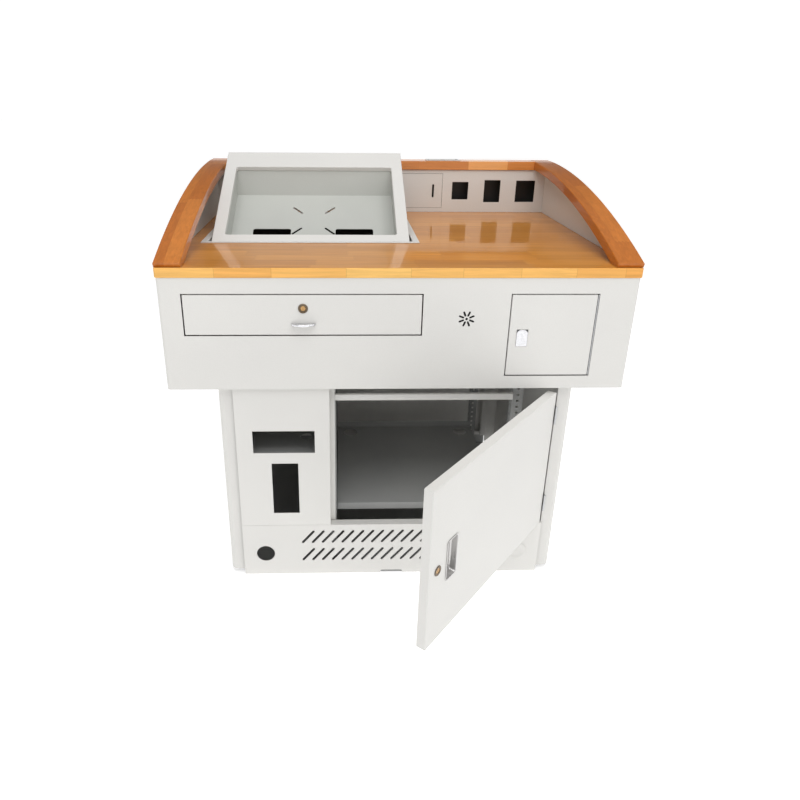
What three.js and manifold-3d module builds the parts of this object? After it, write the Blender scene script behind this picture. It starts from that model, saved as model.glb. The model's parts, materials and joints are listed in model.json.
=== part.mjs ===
// Teacher's podium: a sheet-steel pedestal cabinet with a board worktop, arched wooden armrests,
// a tilting monitor frame, a keyboard drawer, a side door and an equipment bay behind a hinged door.
// Millimetres, +X to the right of someone facing the front, +Y to the back, +Z up.
import * as THREE from "three";
import { mergeVertices } from "three/addons/utils/BufferGeometryUtils.js";
import Module from "manifold-3d";

const wasm = await Module();
wasm.setup();

// ---- Driving dimensions -------------------------------------------------------------------

const WIDTH = 1050; // worktop, side to side
const DEPTH = 768; // front edge of the worktop to the back panel
const TOP_Z = 816; // worktop surface above the floor
const BOARD = 22; // worktop thickness
const UPPER_HEIGHT = 261; // upper cabinet, below the board
const SHEET = 1.5; // steel sheet
const GAP = 0.3; // between pieces that touch

const OVERHANG = 111; // upper cabinet beyond the lower one, each side
const REAR_OVERHANG = 78;
const CABLE_WAY = [200, 100, 110]; // in the upper cabinet's floor: width, depth, from the floor's back edge
const FRONT_SETBACK = 10; // lower front panels behind the worktop edge
const CORNER_SETBACK = 8; // side panels' front returns behind the front panels
const CORNER_WIDTH = 35.5; // side panels' front and rear returns
const CORNER_RADIUS = 15;
const CORNER_FOOT = 13.5; // side panels stop this far above the floor

const VENT_PANEL_HEIGHT = 153;
const TOE_HEIGHT = 17; // folded-back lip along the floor
const TOE_SETBACK = 3;
const TOE_NOTCH = [56, 10]; // width and height
const VENT_PITCH = 25.1;
const VENT_WIDTH = 6.6;
const VENT_RUN = 27; // sideways, end centre to end centre
const VENT_RISE = 32;
const VENT_ROWS = [63, 117]; // heights of the rows' middles
const VENT_MARGIN = 68; // from the cable holes to the first vent
const CABLE_HOLE_RADIUS = 23;
const CABLE_HOLE_INSET = 56; // from the front panel's end
const CABLE_HOLE_Z = 67;

const LEFT_PANEL_WIDTH = 222.5;
const WIDE_CUT = [147, 59, 36, 113]; // width, height, from the panel's right edge, from its top
const TALL_CUT_WIDTH = 64;
const TALL_CUT_INSET = 77; // from the panel's right edge
const TALL_CUT_BELOW = 29; // under the wide cut-out
const TALL_CUT_ABOVE = 37; // over the panel's foot

const DOOR_THICKNESS = 20;
const DOOR_PIN_GAP = 4; // between the door and the side panel
const DOOR_PIN_FORWARD = 3; // its pins, in front of the face
const REAR_PIN_GAP = 6.5; // the rear door's pin is in its gap
const DOOR_PIN_RADIUS = 2.6;
const DOOR_PIN_LENGTH = 46;
const LEAF_REACH = 20; // of its hinge leaf, along the side panel's edge
const DOOR_FREE_GAP = 1.2;
const DOOR_TOP_GAP = 14;
const DOOR_OPEN = 49.9; // degrees, as it stands
const STOP_WIDTH = 12; // door stop beyond the panel edge
const CUP = [36, 90, 16]; // cup handle: width, height, depth
const CUP_INSET = 81; // its middle from the door's free edge
const CUP_RIM = 3;
const DOOR_LOCK_INSET = 30;
const LOCK_RADIUS = 9.5;
const CAM = [34, 12, 2]; // reach, width, thickness
const CAM_BEHIND = 4.5; // a door's cam behind the door's back

const BAY_WIDTH = 418; // between the left and right rack posts
const POST = 26; // legs of the rack posts' angle section
const POST_SET = 7; // front posts behind the door stops
const SHELF_DEPTH = 416;
const SHELF_Z = 184;
const SHELF_LIP = 19;
const SHELF_UPSTAND = 17;
const SHELF_HOLE_RADIUS = 20.5;
const SHELF_HOLE_INSET = 38;
const SHELF_SET = 20; // shelf behind the front posts' faces
const CROSS_RAIL_DROP = 28.5; // top of the rail below the upper cabinet
const CROSS_RAIL_HEIGHT = 15;
const SMALL_SHELF_DEPTH = 300;

const DRAWER = [524, 96.5, 385]; // opening width and height, box depth
const DRAWER_LEFT = 52; // opening's left edge from the worktop's end
const DRAWER_TOP = 35.5; // opening below the board
const FRONT_GAP = 2.5; // round the drawer front and the side door
const FRONT_THICKNESS = 15;
const TRAY_SIDE = 18; // drawer box narrower than the opening, each side
const TRAY_HEIGHT = 63;
const TRAY_RAISE = 8; // over the opening's lower edge
const SLIDE_HEIGHT = 37;
const DRAWER_PULL = [56, 15, 5]; // width, projection, thickness
const DRAWER_PULL_Z = 28; // above the opening's lower edge
const DRAWER_LOCK_DROP = 33; // below the opening's upper edge

const SIDE_OPENING = 195; // square
const SIDE_RIGHT = 87; // opening's right edge from the worktop's end
const SIDE_TOP = 35.5;
const SIDE_DEPTH = 250;
const SIDE_PIN_GAP = 4;
const SIDE_PIN_RADIUS = 1.3;
const LATCH = [26, 40, 4];
const LATCH_INSET = 32;

const GRILLE_RADIUS = 19;
const GRILLE_TO_SIDE = 95; // grille's middle to the side opening
const GRILLE_Z = 93; // below the board
const GRILLE_SLOTS = 8;
const SPEAKER_RADIUS = 33;

const NOSING = 28; // full-width front strip of the worktop
const RISER_FROM_BACK = 56; // cable space behind the riser wall
const RAIL_WIDTH = 58;
const RAIL_THICKNESS = 25;
const RAIL_START = 5; // behind the worktop's front edge
const RAIL_HEIGHT = 154; // rail top above the worktop at the back
const RAIL_RADIUS = 2110;
const RAIL_UNDERCUT = 5; // the front end leans back this far, square to the arc
const WING_THICKNESS = 19.5;
const MIC_PLATE = [104, 40];
const MIC_X = 186;
const MIC_HOLE_RADIUS = 8;

const CUTS = [
  // connector cut-outs in the riser: left edge from the centre, width, lower edge above the worktop, height
  [217, 50, 39, 53],
  [317, 50, 31, 67],
  [416, 59, 32, 65],
];
const HATCH = [-40, 226.5, 13, 104]; // the same four sizes
const HATCH_GAP = 0.8;
const HATCH_SLOT = [6, 40, 28]; // width, height, from the free edge
const HATCH_PIN_RADIUS = 1.2;

const WELL_X = -203; // middle of the monitor well
const WELL_FRONT = 261.5;
const BEZEL = [494, 395, 12];
const BEZEL_SIDE_GAP = 7;
const BEZEL_END_GAP = 4.5;
const SCREEN_OPENING = [433, 293, 30]; // width, height, from the bezel's front edge
const BEZEL_LIP = 8; // turned-in edge round the opening, which the pocket hangs from
const FLANGE = 16;
const FLANGE_BACK = 29;
const SKIRT = 23;
const PIVOT_IN = 5; // hinge line behind the bezel's front edge
const PIVOT_DOWN = 6; // and below its face
const MONITOR_OPEN = 28.1; // degrees, as it stands
const POCKET_DEPTH = 72;
const POCKET_LIP = 3; // pocket wider than the screen opening, each side
const POCKET_SLOPE = 36; // length of the sloping rear wall along the bezel
const BOLT_SLOTS = [33, 56, 6]; // inner and outer end offsets, width
const CABLE_SLOT = [102, 27, 111, 49]; // width, height, offset aside and down from the bolt slots' middle
const HINGE_LENGTH = 42;
const HINGE_RADIUS = 3;

const REAR_DOOR_Z = 45;
const REAR_DOOR_TOP_GAP = 15;
const REAR_JAMB = 18; // width of the strips beside the opening

// ---- Derived places -----------------------------------------------------------------------

const HALF = WIDTH / 2;
const BOARD_Z = TOP_Z - BOARD;
const UPPER_Z = BOARD_Z - UPPER_HEIGHT;
const SKIN_X = HALF - 3; // inside of the upper side panels
const UPPER_Y = 2; // face of the upper front panel
const LOWER_HALF = HALF - OVERHANG;
const FRONT_HALF = LOWER_HALF - CORNER_WIDTH;
const CORNER_Y = FRONT_SETBACK + CORNER_SETBACK;
const LOWER_BACK = DEPTH - REAR_OVERHANG;
const RISER_Y = DEPTH - RISER_FROM_BACK;
const PANEL_RIGHT = -FRONT_HALF + LEFT_PANEL_WIDTH; // edge of the door opening
const DOOR_Z = [VENT_PANEL_HEIGHT + DOOR_FREE_GAP, UPPER_Z - DOOR_TOP_GAP];
const STOP_Y = FRONT_SETBACK + DOOR_THICKNESS + 1.5;
const DRAWER_X = [-HALF + DRAWER_LEFT, -HALF + DRAWER_LEFT + DRAWER[0]];
const DRAWER_Z = [BOARD_Z - DRAWER_TOP - DRAWER[1], BOARD_Z - DRAWER_TOP];
const SIDE_X = [HALF - SIDE_RIGHT - SIDE_OPENING, HALF - SIDE_RIGHT];
const SIDE_Z = [BOARD_Z - SIDE_TOP - SIDE_OPENING, BOARD_Z - SIDE_TOP];
const WELL = {
  x0: WELL_X - BEZEL[0] / 2 - BEZEL_SIDE_GAP,
  x1: WELL_X + BEZEL[0] / 2 + BEZEL_SIDE_GAP,
  y0: WELL_FRONT,
  y1: WELL_FRONT + BEZEL[1] + 2 * BEZEL_END_GAP,
};
const FLANGE_TOP = TOP_Z + GAP + SHEET;
const BAY_X = [PANEL_RIGHT + STOP_WIDTH + 4, PANEL_RIGHT + STOP_WIDTH + 4 + BAY_WIDTH];
const DIVIDER_X = BAY_X[0] - 1 - POST - GAP - SHEET;
const POST_Y = STOP_Y + SHEET + POST_SET;
const ORIGIN_Y = (FRONT_SETBACK + LOWER_BACK) / 2;

// ---- Materials ----------------------------------------------------------------------------

const paint = new THREE.MeshStandardMaterial({ color: 0xe6e5e0, roughness: 0.55, metalness: 0.0 });
const innerPaint = new THREE.MeshStandardMaterial({ color: 0xc9cac6, roughness: 0.6, metalness: 0.0 });
const board = new THREE.MeshStandardMaterial({ color: 0xc98a45, roughness: 0.25, metalness: 0.0 });
const rail = new THREE.MeshStandardMaterial({ color: 0xb9672a, roughness: 0.3, metalness: 0.0 });
const zinc = new THREE.MeshStandardMaterial({ color: 0xb8babc, roughness: 0.35, metalness: 0.9 });
const chrome = new THREE.MeshStandardMaterial({ color: 0xd0d2d4, roughness: 0.15, metalness: 1.0 });
const brass = new THREE.MeshStandardMaterial({ color: 0xb08d4a, roughness: 0.3, metalness: 1.0 });
const blackPlastic = new THREE.MeshStandardMaterial({ color: 0x1c1c1d, roughness: 0.6, metalness: 0.0 });

// ---- Shape helpers ------------------------------------------------------------------------

function outline(points) {
  return new THREE.Shape(points.map(([a, b]) => new THREE.Vector2(a, b)));
}

function rectangle(a0, a1, b0, b1) {
  return outline([[a0, b0], [a1, b0], [a1, b1], [a0, b1]]);
}

// A slot from one end centre to the other, with round ends.
function slot(ax, ay, bx, by, width, steps = 4) {
  const along = Math.atan2(by - ay, bx - ax);
  const points = [];
  for (const [cx, cy, start] of [[bx, by, along - Math.PI / 2], [ax, ay, along + Math.PI / 2]]) {
    for (let i = 0; i <= steps; i++) {
      const t = start + (Math.PI * i) / steps;
      points.push([cx + (width / 2) * Math.cos(t), cy + (width / 2) * Math.sin(t)]);
    }
  }
  return outline(points);
}

function disc(cx, cy, radius, sides = 32) {
  const points = [];
  for (let i = 0; i < sides; i++) {
    const t = (2 * Math.PI * i) / sides;
    points.push([cx + radius * Math.cos(t), cy + radius * Math.sin(t)]);
  }
  return outline(points);
}

function roundedRectangle(a0, a1, b0, b1, radius, steps = 4) {
  const points = [];
  const corners = [[a1 - radius, b0 + radius], [a1 - radius, b1 - radius], [a0 + radius, b1 - radius], [a0 + radius, b0 + radius]];
  corners.forEach(([cx, cy], k) => {
    for (let i = 0; i <= steps; i++) {
      const t = ((k - 1) * Math.PI) / 2 + ((Math.PI / 2) * i) / steps;
      points.push([cx + radius * Math.cos(t), cy + radius * Math.sin(t)]);
    }
  });
  return outline(points);
}

function extrude(shape, length, holes = []) {
  shape.holes.push(...holes);
  return new THREE.ExtrudeGeometry(shape, { depth: length, bevelEnabled: false });
}

// Outline in X and Y, standing up from z0 to z1.
function flat(shape, z0, z1, holes) {
  return extrude(shape, z1 - z0, holes).translate(0, 0, z0);
}

// Outline in X and Z, from y0 back to y1.
function upright(shape, y0, y1, holes) {
  return extrude(shape, y1 - y0, holes).rotateX(Math.PI / 2).translate(0, y1, 0);
}

// Outline in Y and Z, from x0 across to x1.
function sideways(shape, x0, x1, holes) {
  const geometry = extrude(shape, x1 - x0, holes);
  geometry.applyMatrix4(new THREE.Matrix4().set(0, 0, 1, 0, 1, 0, 0, 0, 0, 1, 0, 0, 0, 0, 0, 1));
  return geometry.translate(x0, 0, 0);
}

function block(x0, x1, y0, y1, z0, z1) {
  const geometry = new THREE.BoxGeometry(x1 - x0, y1 - y0, z1 - z0);
  return geometry.translate((x0 + x1) / 2, (y0 + y1) / 2, (z0 + z1) / 2);
}

function cylinderAlong(axis, x, y, z, radius, length, sides = 28) {
  const geometry = new THREE.CylinderGeometry(radius, radius, length, sides);
  if (axis === "x") geometry.rotateZ(Math.PI / 2);
  if (axis === "z") geometry.rotateX(Math.PI / 2);
  return geometry.translate(x, y, z);
}

function solid(geometry) {
  const bare = geometry.clone();
  bare.deleteAttribute("normal");
  bare.deleteAttribute("uv");
  const merged = mergeVertices(bare, 1e-4);
  const vertProperties = new Float32Array(merged.attributes.position.array);
  const triVerts = new Uint32Array(merged.index.array);
  return new wasm.Manifold(new wasm.Mesh({ numProp: 3, vertProperties, triVerts }));
}

function surface(body) {
  const mesh = body.getMesh();
  const geometry = new THREE.BufferGeometry();
  geometry.setAttribute("position", new THREE.BufferAttribute(new Float32Array(mesh.vertProperties), 3));
  geometry.setIndex(new THREE.BufferAttribute(new Uint32Array(mesh.triVerts), 1));
  geometry.computeVertexNormals();
  return geometry;
}

function cut(geometry, ...tools) {
  return surface(tools.reduce((body, tool) => body.subtract(solid(tool)), solid(geometry)));
}

function join(geometry, ...others) {
  return surface(others.reduce((body, other) => body.add(solid(other)), solid(geometry)));
}

function add(parent, name, geometry, material) {
  const mesh = new THREE.Mesh(geometry, material);
  mesh.name = name;
  parent.add(mesh);
  return mesh;
}

// ---- Lower cabinet ------------------------------------------------------------------------

function addBasePan(parent) {
  const [y0, y1, rim] = [FRONT_SETBACK + 2 * TOE_SETBACK, LOWER_BACK - 2, REAR_DOOR_Z - 5];
  const section = outline([
    [y0, 0], [y1, 0], [y1, rim], [y1 - SHEET, rim], [y1 - SHEET, SHEET],
    [y0 + SHEET, SHEET], [y0 + SHEET, rim], [y0, rim],
  ]);
  add(parent, "base_pan", sideways(section, -FRONT_HALF, FRONT_HALF), innerPaint);
}

function addVentPanel(parent) {
  const [y, back] = [FRONT_SETBACK, FRONT_SETBACK + SHEET];
  const section = outline([
    [y, TOE_HEIGHT], [y + TOE_SETBACK, 0], [back + TOE_SETBACK, 0], [back, TOE_HEIGHT],
    [back, VENT_PANEL_HEIGHT], [y, VENT_PANEL_HEIGHT],
  ]);
  const holeX = FRONT_HALF - CABLE_HOLE_INSET;
  const field = 2 * (holeX - CABLE_HOLE_RADIUS - VENT_MARGIN);
  const count = Math.floor((field - VENT_RUN) / VENT_PITCH) + 1;
  const start = -((count - 1) * VENT_PITCH) / 2;
  const reach = [y - 10, back + 10];
  const tools = [-1, 1].map((side) => upright(disc(side * holeX, CABLE_HOLE_Z, CABLE_HOLE_RADIUS), ...reach));
  for (const z of VENT_ROWS) {
    for (let i = 0; i < count; i++) {
      const x = start + i * VENT_PITCH;
      const [dx, dz] = [VENT_RUN / 2, VENT_RISE / 2];
      tools.push(upright(slot(x - dx, z - dz, x + dx, z + dz, VENT_WIDTH), ...reach));
    }
  }
  const [w, h] = TOE_NOTCH;
  tools.push(upright(roundedRectangle(-w / 2, w / 2, -h, h, 5), ...reach));
  add(parent, "vent_panel", cut(sideways(section, -FRONT_HALF, FRONT_HALF), ...tools), paint);
  const cap = join(
    cylinderAlong("y", holeX, y + 3, CABLE_HOLE_Z, CABLE_HOLE_RADIUS - 0.6, 8),
    cylinderAlong("y", holeX, y - 1 - GAP, CABLE_HOLE_Z, CABLE_HOLE_RADIUS + 2, 2),
  );
  add(parent, "cable_hole_cap", cap, paint);
}

// One folded sheet: front return, rounded corner, side and rear return.
function addSidePanel(parent, name, side) {
  const corner = (radius) => {
    const points = [];
    for (let i = 0; i <= 6; i++) {
      const t = ((Math.PI / 2) * i) / 6;
      points.push([
        LOWER_HALF - CORNER_RADIUS + radius * Math.cos(t),
        CORNER_Y + CORNER_RADIUS - radius * Math.sin(t),
      ]);
    }
    return points;
  };
  const edge = LOWER_HALF - CORNER_WIDTH + GAP;
  const back = LOWER_BACK - CORNER_SETBACK;
  const points = [
    ...corner(CORNER_RADIUS),
    [edge, CORNER_Y],
    [edge, CORNER_Y + SHEET],
    ...corner(CORNER_RADIUS - SHEET).reverse(),
    [LOWER_HALF - SHEET, back - SHEET],
    [edge, back - SHEET],
    [edge, back],
    [LOWER_HALF, back],
  ].map(([x, y]) => [side * x, y]);
  add(parent, name, flat(outline(points), CORNER_FOOT, UPPER_Z - GAP), paint);
}

function addLeftFrontPanel(parent) {
  const [z0, z1] = [VENT_PANEL_HEIGHT + GAP, UPPER_Z - GAP];
  const [w, h, right, top] = WIDE_CUT;
  const wideTop = UPPER_Z - top;
  const wideBottom = wideTop - h;
  const wide = rectangle(PANEL_RIGHT - right - w, PANEL_RIGHT - right, wideBottom, wideTop);
  const tallRight = PANEL_RIGHT - TALL_CUT_INSET;
  const tall = rectangle(
    tallRight - TALL_CUT_WIDTH, tallRight, VENT_PANEL_HEIGHT + TALL_CUT_ABOVE, wideBottom - TALL_CUT_BELOW,
  );
  const panel = rectangle(-FRONT_HALF, PANEL_RIGHT, z0, z1);
  const geometry = upright(panel, FRONT_SETBACK, FRONT_SETBACK + SHEET, [wide, tall]);
  add(parent, "left_front_panel", geometry, paint);
  const shelf = flat(
    rectangle(-FRONT_HALF + 2, DIVIDER_X - GAP, FRONT_SETBACK + 20, FRONT_SETBACK + 20 + SMALL_SHELF_DEPTH),
    wideBottom - 10 - SHEET, wideBottom - 10, [disc(PANEL_RIGHT - 62, FRONT_SETBACK + 100, SHELF_HOLE_RADIUS - 5)],
  );
  add(parent, "left_bay_shelf", shelf, innerPaint);
}

// Folded stops that the closed door rests against.
function addDoorStops(parent) {
  const x = PANEL_RIGHT;
  const y = FRONT_SETBACK + SHEET + GAP;
  const jamb = outline([
    [x - 2 * SHEET, y], [x - SHEET, y], [x - SHEET, STOP_Y], [x + STOP_WIDTH, STOP_Y],
    [x + STOP_WIDTH, STOP_Y + SHEET], [x - 2 * SHEET, STOP_Y + SHEET],
  ]);
  add(parent, "door_jamb", flat(jamb, VENT_PANEL_HEIGHT + GAP, UPPER_Z - GAP), paint);
  const z = VENT_PANEL_HEIGHT - 1;
  const sill = outline([
    [y, z - SHEET], [STOP_Y, z - SHEET], [STOP_Y, z - STOP_WIDTH],
    [STOP_Y + SHEET, z - STOP_WIDTH], [STOP_Y + SHEET, z], [y, z],
  ]);
  add(parent, "door_sill", sideways(sill, x - 2 * SHEET, FRONT_HALF), paint);
}

function addEquipmentBay(parent) {
  const [x0, x1] = BAY_X;
  const divider = block(
    DIVIDER_X, DIVIDER_X + SHEET, STOP_Y + 3, LOWER_BACK - DOOR_THICKNESS - 30, REAR_DOOR_Z, UPPER_Z - GAP,
  );
  add(parent, "bay_divider", divider, innerPaint);
  const rearY = POST_Y + SHELF_SET + SHELF_DEPTH + 15;
  const angle = (x, y, sideX, sideY) => {
    const points = [
      [0, 0], [POST, 0], [POST, SHEET], [SHEET, SHEET], [SHEET, POST], [0, POST],
    ].map(([a, b]) => [x + sideX * a, y + sideY * b]);
    return outline(sideX * sideY > 0 ? points : points.reverse());
  };
  const height = [SHEET + GAP, UPPER_Z - GAP];
  const outX = [x0 - 1, x1 + 1];
  add(parent, "rack_post_front_left", flat(angle(outX[0], POST_Y, -1, 1), ...height), innerPaint);
  add(parent, "rack_post_front_right", flat(angle(outX[1], POST_Y, 1, 1), ...height), innerPaint);
  add(parent, "rack_post_rear_left", flat(angle(outX[0], rearY + POST, -1, -1), ...height), innerPaint);
  add(parent, "rack_post_rear_right", flat(angle(outX[1], rearY + POST, 1, -1), ...height), innerPaint);

  const y0 = POST_Y + SHELF_SET;
  const y1 = y0 + SHELF_DEPTH;
  const profile = outline([
    [y0, SHELF_Z - SHELF_LIP], [y0 + SHEET, SHELF_Z - SHELF_LIP], [y0 + SHEET, SHELF_Z - SHEET],
    [y1, SHELF_Z - SHEET], [y1, SHELF_Z + SHELF_UPSTAND], [y1 - SHEET, SHELF_Z + SHELF_UPSTAND],
    [y1 - SHEET, SHELF_Z], [y0, SHELF_Z],
  ]);
  const holes = [x0 + SHELF_HOLE_INSET, x1 - SHELF_HOLE_INSET].map((x) =>
    cylinderAlong("z", x, y1 - SHELF_HOLE_INSET, SHELF_Z, SHELF_HOLE_RADIUS, 20),
  );
  add(parent, "equipment_shelf", cut(sideways(profile, x0, x1), ...holes), innerPaint);

  const z1 = UPPER_Z - CROSS_RAIL_DROP;
  const railProfile = outline([
    [STOP_Y, z1 - CROSS_RAIL_HEIGHT], [STOP_Y + SHEET, z1 - CROSS_RAIL_HEIGHT], [STOP_Y + SHEET, z1 - SHEET],
    [POST_Y - GAP, z1 - SHEET], [POST_Y - GAP, z1], [STOP_Y, z1],
  ]);
  add(parent, "cross_rail", sideways(railProfile, PANEL_RIGHT + STOP_WIDTH + GAP, x1), paint);
}

// The door is drawn closed, from its hinge line, in a group that turns it.
function addMainDoor(parent) {
  const pinX = FRONT_HALF - DOOR_PIN_GAP / 2;
  const pinY = FRONT_SETBACK - DOOR_PIN_FORWARD;
  const group = new THREE.Group();
  group.position.set(pinX, pinY, 0);
  group.rotation.z = THREE.MathUtils.degToRad(DOOR_OPEN);
  parent.add(group);
  const free = PANEL_RIGHT + DOOR_FREE_GAP - pinX;
  const [face, back] = [FRONT_SETBACK - pinY, FRONT_SETBACK - pinY + DOOR_THICKNESS];
  const [z0, z1] = DOOR_Z;
  const middle = (z0 + z1) / 2 - 6;
  const cupX = free + CUP_INSET;
  const lockX = free + DOOR_LOCK_INSET;
  const hinge = -DOOR_PIN_GAP / 2;
  const door = cut(
    block(free, hinge, face, back, z0, z1),
    block(free + SHEET, hinge - SHEET, face + SHEET, back + 1, z0 + SHEET, z1 - SHEET),
    block(cupX - CUP[0] / 2, cupX + CUP[0] / 2, face - 1, face + 3, middle - CUP[1] / 2, middle + CUP[1] / 2),
    cylinderAlong("y", lockX, face, middle, LOCK_RADIUS + GAP, 8),
  );
  add(group, "main_door", door, paint);

  const [w, h, depth] = [CUP[0] / 2 - GAP, CUP[1] / 2 - GAP, CUP[2]];
  const cup = cut(
    join(
      block(cupX - w, cupX + w, face - 1, face + depth, middle - h, middle + h),
      block(cupX - w - CUP_RIM, cupX + w + CUP_RIM, face - 1.5, face - GAP, middle - h - CUP_RIM, middle + h + CUP_RIM),
    ),
    block(cupX - w + SHEET, cupX + w - SHEET, face - 3, face + depth - SHEET, middle - h + SHEET, middle + h - SHEET),
  );
  add(group, "door_cup", cup, zinc);
  add(group, "door_lock", lockWithCam(lockX, face, middle, DOOR_THICKNESS + CAM_BEHIND, "down"), brass);

  for (const [name, z] of [["main_door_pin_lower", z0 + 60], ["main_door_pin_upper", z1 - 60]]) {
    const pin = cylinderAlong("z", pinX, pinY, z, DOOR_PIN_RADIUS, DOOR_PIN_LENGTH, 16);
    const leafHalf = DOOR_PIN_LENGTH / 2 - 1;
    const leaf = block(pinX + 0.7, pinX + 1.9, pinY, CORNER_Y + LEAF_REACH, z - leafHalf, z + leafHalf);
    add(parent, name, join(pin, leaf), zinc);
  }
}

// A cylinder lock through a front whose face is at y, with its cam behind.
function lockWithCam(x, y, z, depth, toward) {
  const [reach, width, thickness] = CAM;
  const cam = {
    down: [x - width / 2, x + width / 2, z - reach, z + width / 2],
    right: [x - width / 2, x + reach, z - width / 2, z + width / 2],
    left: [x - reach, x + width / 2, z - width / 2, z + width / 2],
  }[toward];
  return join(
    cylinderAlong("y", x, y + (depth - 2) / 2, z, LOCK_RADIUS, depth + 2),
    block(cam[0], cam[1], y + depth - 0.5, y + depth - 0.5 + thickness, cam[2], cam[3]),
  );
}

// Service door at the back, drawn closed, hinged on the right as seen from the front.
function addRearDoor(parent) {
  const pinX = FRONT_HALF - REAR_PIN_GAP / 2;
  const [z0, z1] = [REAR_DOOR_Z, UPPER_Z - REAR_DOOR_TOP_GAP];
  const [y0, y1] = [LOWER_BACK - DOOR_THICKNESS, LOWER_BACK];
  const middle = (z0 + z1) / 2;
  const [x0, x1] = [-FRONT_HALF + DOOR_FREE_GAP + GAP, FRONT_HALF - REAR_PIN_GAP];
  const lockX = x0 + DOOR_LOCK_INSET;
  const door = cut(
    block(x0, x1, y0, y1, z0, z1),
    block(x0 + SHEET, x1 - SHEET, y0 - 1, y1 - SHEET, z0 + SHEET, z1 - SHEET),
    cylinderAlong("y", lockX, y1, middle, LOCK_RADIUS + GAP, 8),
  );
  add(parent, "rear_door", door, paint);
  const lock = lockWithCam(0, 0, middle, DOOR_THICKNESS + CAM_BEHIND, "down");
  lock.rotateZ(Math.PI).translate(lockX, y1, 0);
  add(parent, "rear_door_lock", lock, brass);
  const pin = cylinderAlong("z", pinX, y1 - 3, middle, DOOR_PIN_RADIUS, z1 - z0 - 80, 16);
  add(parent, "rear_door_pin", pin, zinc);

  // Folded header and two jamb strips, one welded frame, that the door shuts against.
  const [stopY, top] = [y0 - 1.5, UPPER_Z - GAP];
  const header = outline([
    [stopY - SHEET, z1 - STOP_WIDTH], [stopY, z1 - STOP_WIDTH], [stopY, top - SHEET],
    [y1 - 2, top - SHEET], [y1 - 2, top], [stopY - SHEET, top],
  ]);
  const jambs = [-1, 1].map((side) => {
    const [a, b] = [side * (FRONT_HALF - REAR_JAMB), side * FRONT_HALF].sort((m, n) => m - n);
    return block(a, b, stopY - SHEET, stopY, z0 - 3, z1);
  });
  add(parent, "rear_header", join(sideways(header, -FRONT_HALF, FRONT_HALF), ...jambs), paint);
}

// ---- Upper cabinet ------------------------------------------------------------------------

function addUpperBottom(parent) {
  const [y0, y1] = [UPPER_Y + SHEET + GAP, DEPTH - 2 - GAP];
  const shape = rectangle(-SKIN_X + GAP, SKIN_X - GAP, y0, y1);
  const cableWay = rectangle(-CABLE_WAY[0] / 2, CABLE_WAY[0] / 2, y1 - CABLE_WAY[2] - CABLE_WAY[1], y1 - CABLE_WAY[2]);
  add(parent, "upper_bottom_pan", flat(shape, UPPER_Z, UPPER_Z + SHEET, [cableWay]), innerPaint);
}

function grilleHoles(x, z) {
  const holes = [disc(x, z, 3, 12)];
  for (let i = 0; i < GRILLE_SLOTS; i++) {
    const t = (2 * Math.PI * (i + 0.5)) / GRILLE_SLOTS;
    const [c, s] = [Math.cos(t), Math.sin(t)];
    holes.push(slot(x + 8 * c, z + 8 * s, x + (GRILLE_RADIUS - 2.5) * c, z + (GRILLE_RADIUS - 2.5) * s, 4.5));
  }
  return holes;
}

function addUpperFront(parent) {
  const grilleX = SIDE_X[0] - GRILLE_TO_SIDE;
  const grilleZ = BOARD_Z - GRILLE_Z;
  const shape = rectangle(-SKIN_X - SHEET, SKIN_X + SHEET, UPPER_Z, BOARD_Z - GAP);
  const holes = [
    rectangle(...DRAWER_X, ...DRAWER_Z),
    rectangle(...SIDE_X, ...SIDE_Z),
    ...grilleHoles(grilleX, grilleZ),
  ];
  add(parent, "upper_front_panel", upright(shape, UPPER_Y, UPPER_Y + SHEET, holes), paint);
  const y = UPPER_Y + SHEET + 1;
  const speaker = join(
    cylinderAlong("y", grilleX, y + 3, grilleZ, SPEAKER_RADIUS, 6),
    cylinderAlong("y", grilleX, y + 13, grilleZ, SPEAKER_RADIUS * 0.55, 16),
  );
  add(parent, "speaker", speaker, blackPlastic);
}

// Height of an armrest's upper face, a long arc that is level at the back.
function railTop(y) {
  const reach = Math.max(DEPTH - y, 0);
  return TOP_Z + RAIL_HEIGHT - (RAIL_RADIUS - Math.sqrt(RAIL_RADIUS ** 2 - reach ** 2));
}

// Its lower face, a concentric arc.
function railUnder(y) {
  const inner = RAIL_RADIUS - RAIL_THICKNESS;
  const reach = Math.min(Math.max(DEPTH - y, 0), inner);
  return TOP_Z + RAIL_HEIGHT - RAIL_RADIUS + Math.sqrt(inner ** 2 - reach ** 2);
}

function along(y0, y1, steps, height) {
  const points = [];
  for (let i = 0; i <= steps; i++) {
    const y = y0 + ((y1 - y0) * i) / steps;
    points.push([y, height(y)]);
  }
  return points;
}

function addUpperSide(parent, name, side) {
  const y0 = UPPER_Y + SHEET + GAP;
  const top = along(NOSING + 1, DEPTH, 14, (y) => Math.max(railUnder(y) - GAP, BOARD_Z + 2));
  const shape = outline([[y0, UPPER_Z], [DEPTH, UPPER_Z], ...top.reverse(), [NOSING + 1, BOARD_Z - GAP], [y0, BOARD_Z - GAP]]);
  const [a, b] = side > 0 ? [SKIN_X, SKIN_X + SHEET] : [-SKIN_X - SHEET, -SKIN_X];
  add(parent, name, sideways(shape, a, b), paint);
}

function addWingLiner(parent, name, side) {
  const z0 = TOP_Z + GAP;
  let start = RAIL_START;
  while (railUnder(start) - GAP < z0 + 2) start += 1;
  const top = along(start, RISER_Y - GAP, 12, (y) => railUnder(y) - GAP);
  const shape = outline([[start, z0], [RISER_Y - GAP, z0], ...top.reverse()]);
  const x = HALF - WING_THICKNESS - SHEET;
  const [a, b] = side > 0 ? [x, x + SHEET] : [-x - SHEET, -x];
  add(parent, name, sideways(shape, a, b), paint);
}

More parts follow.
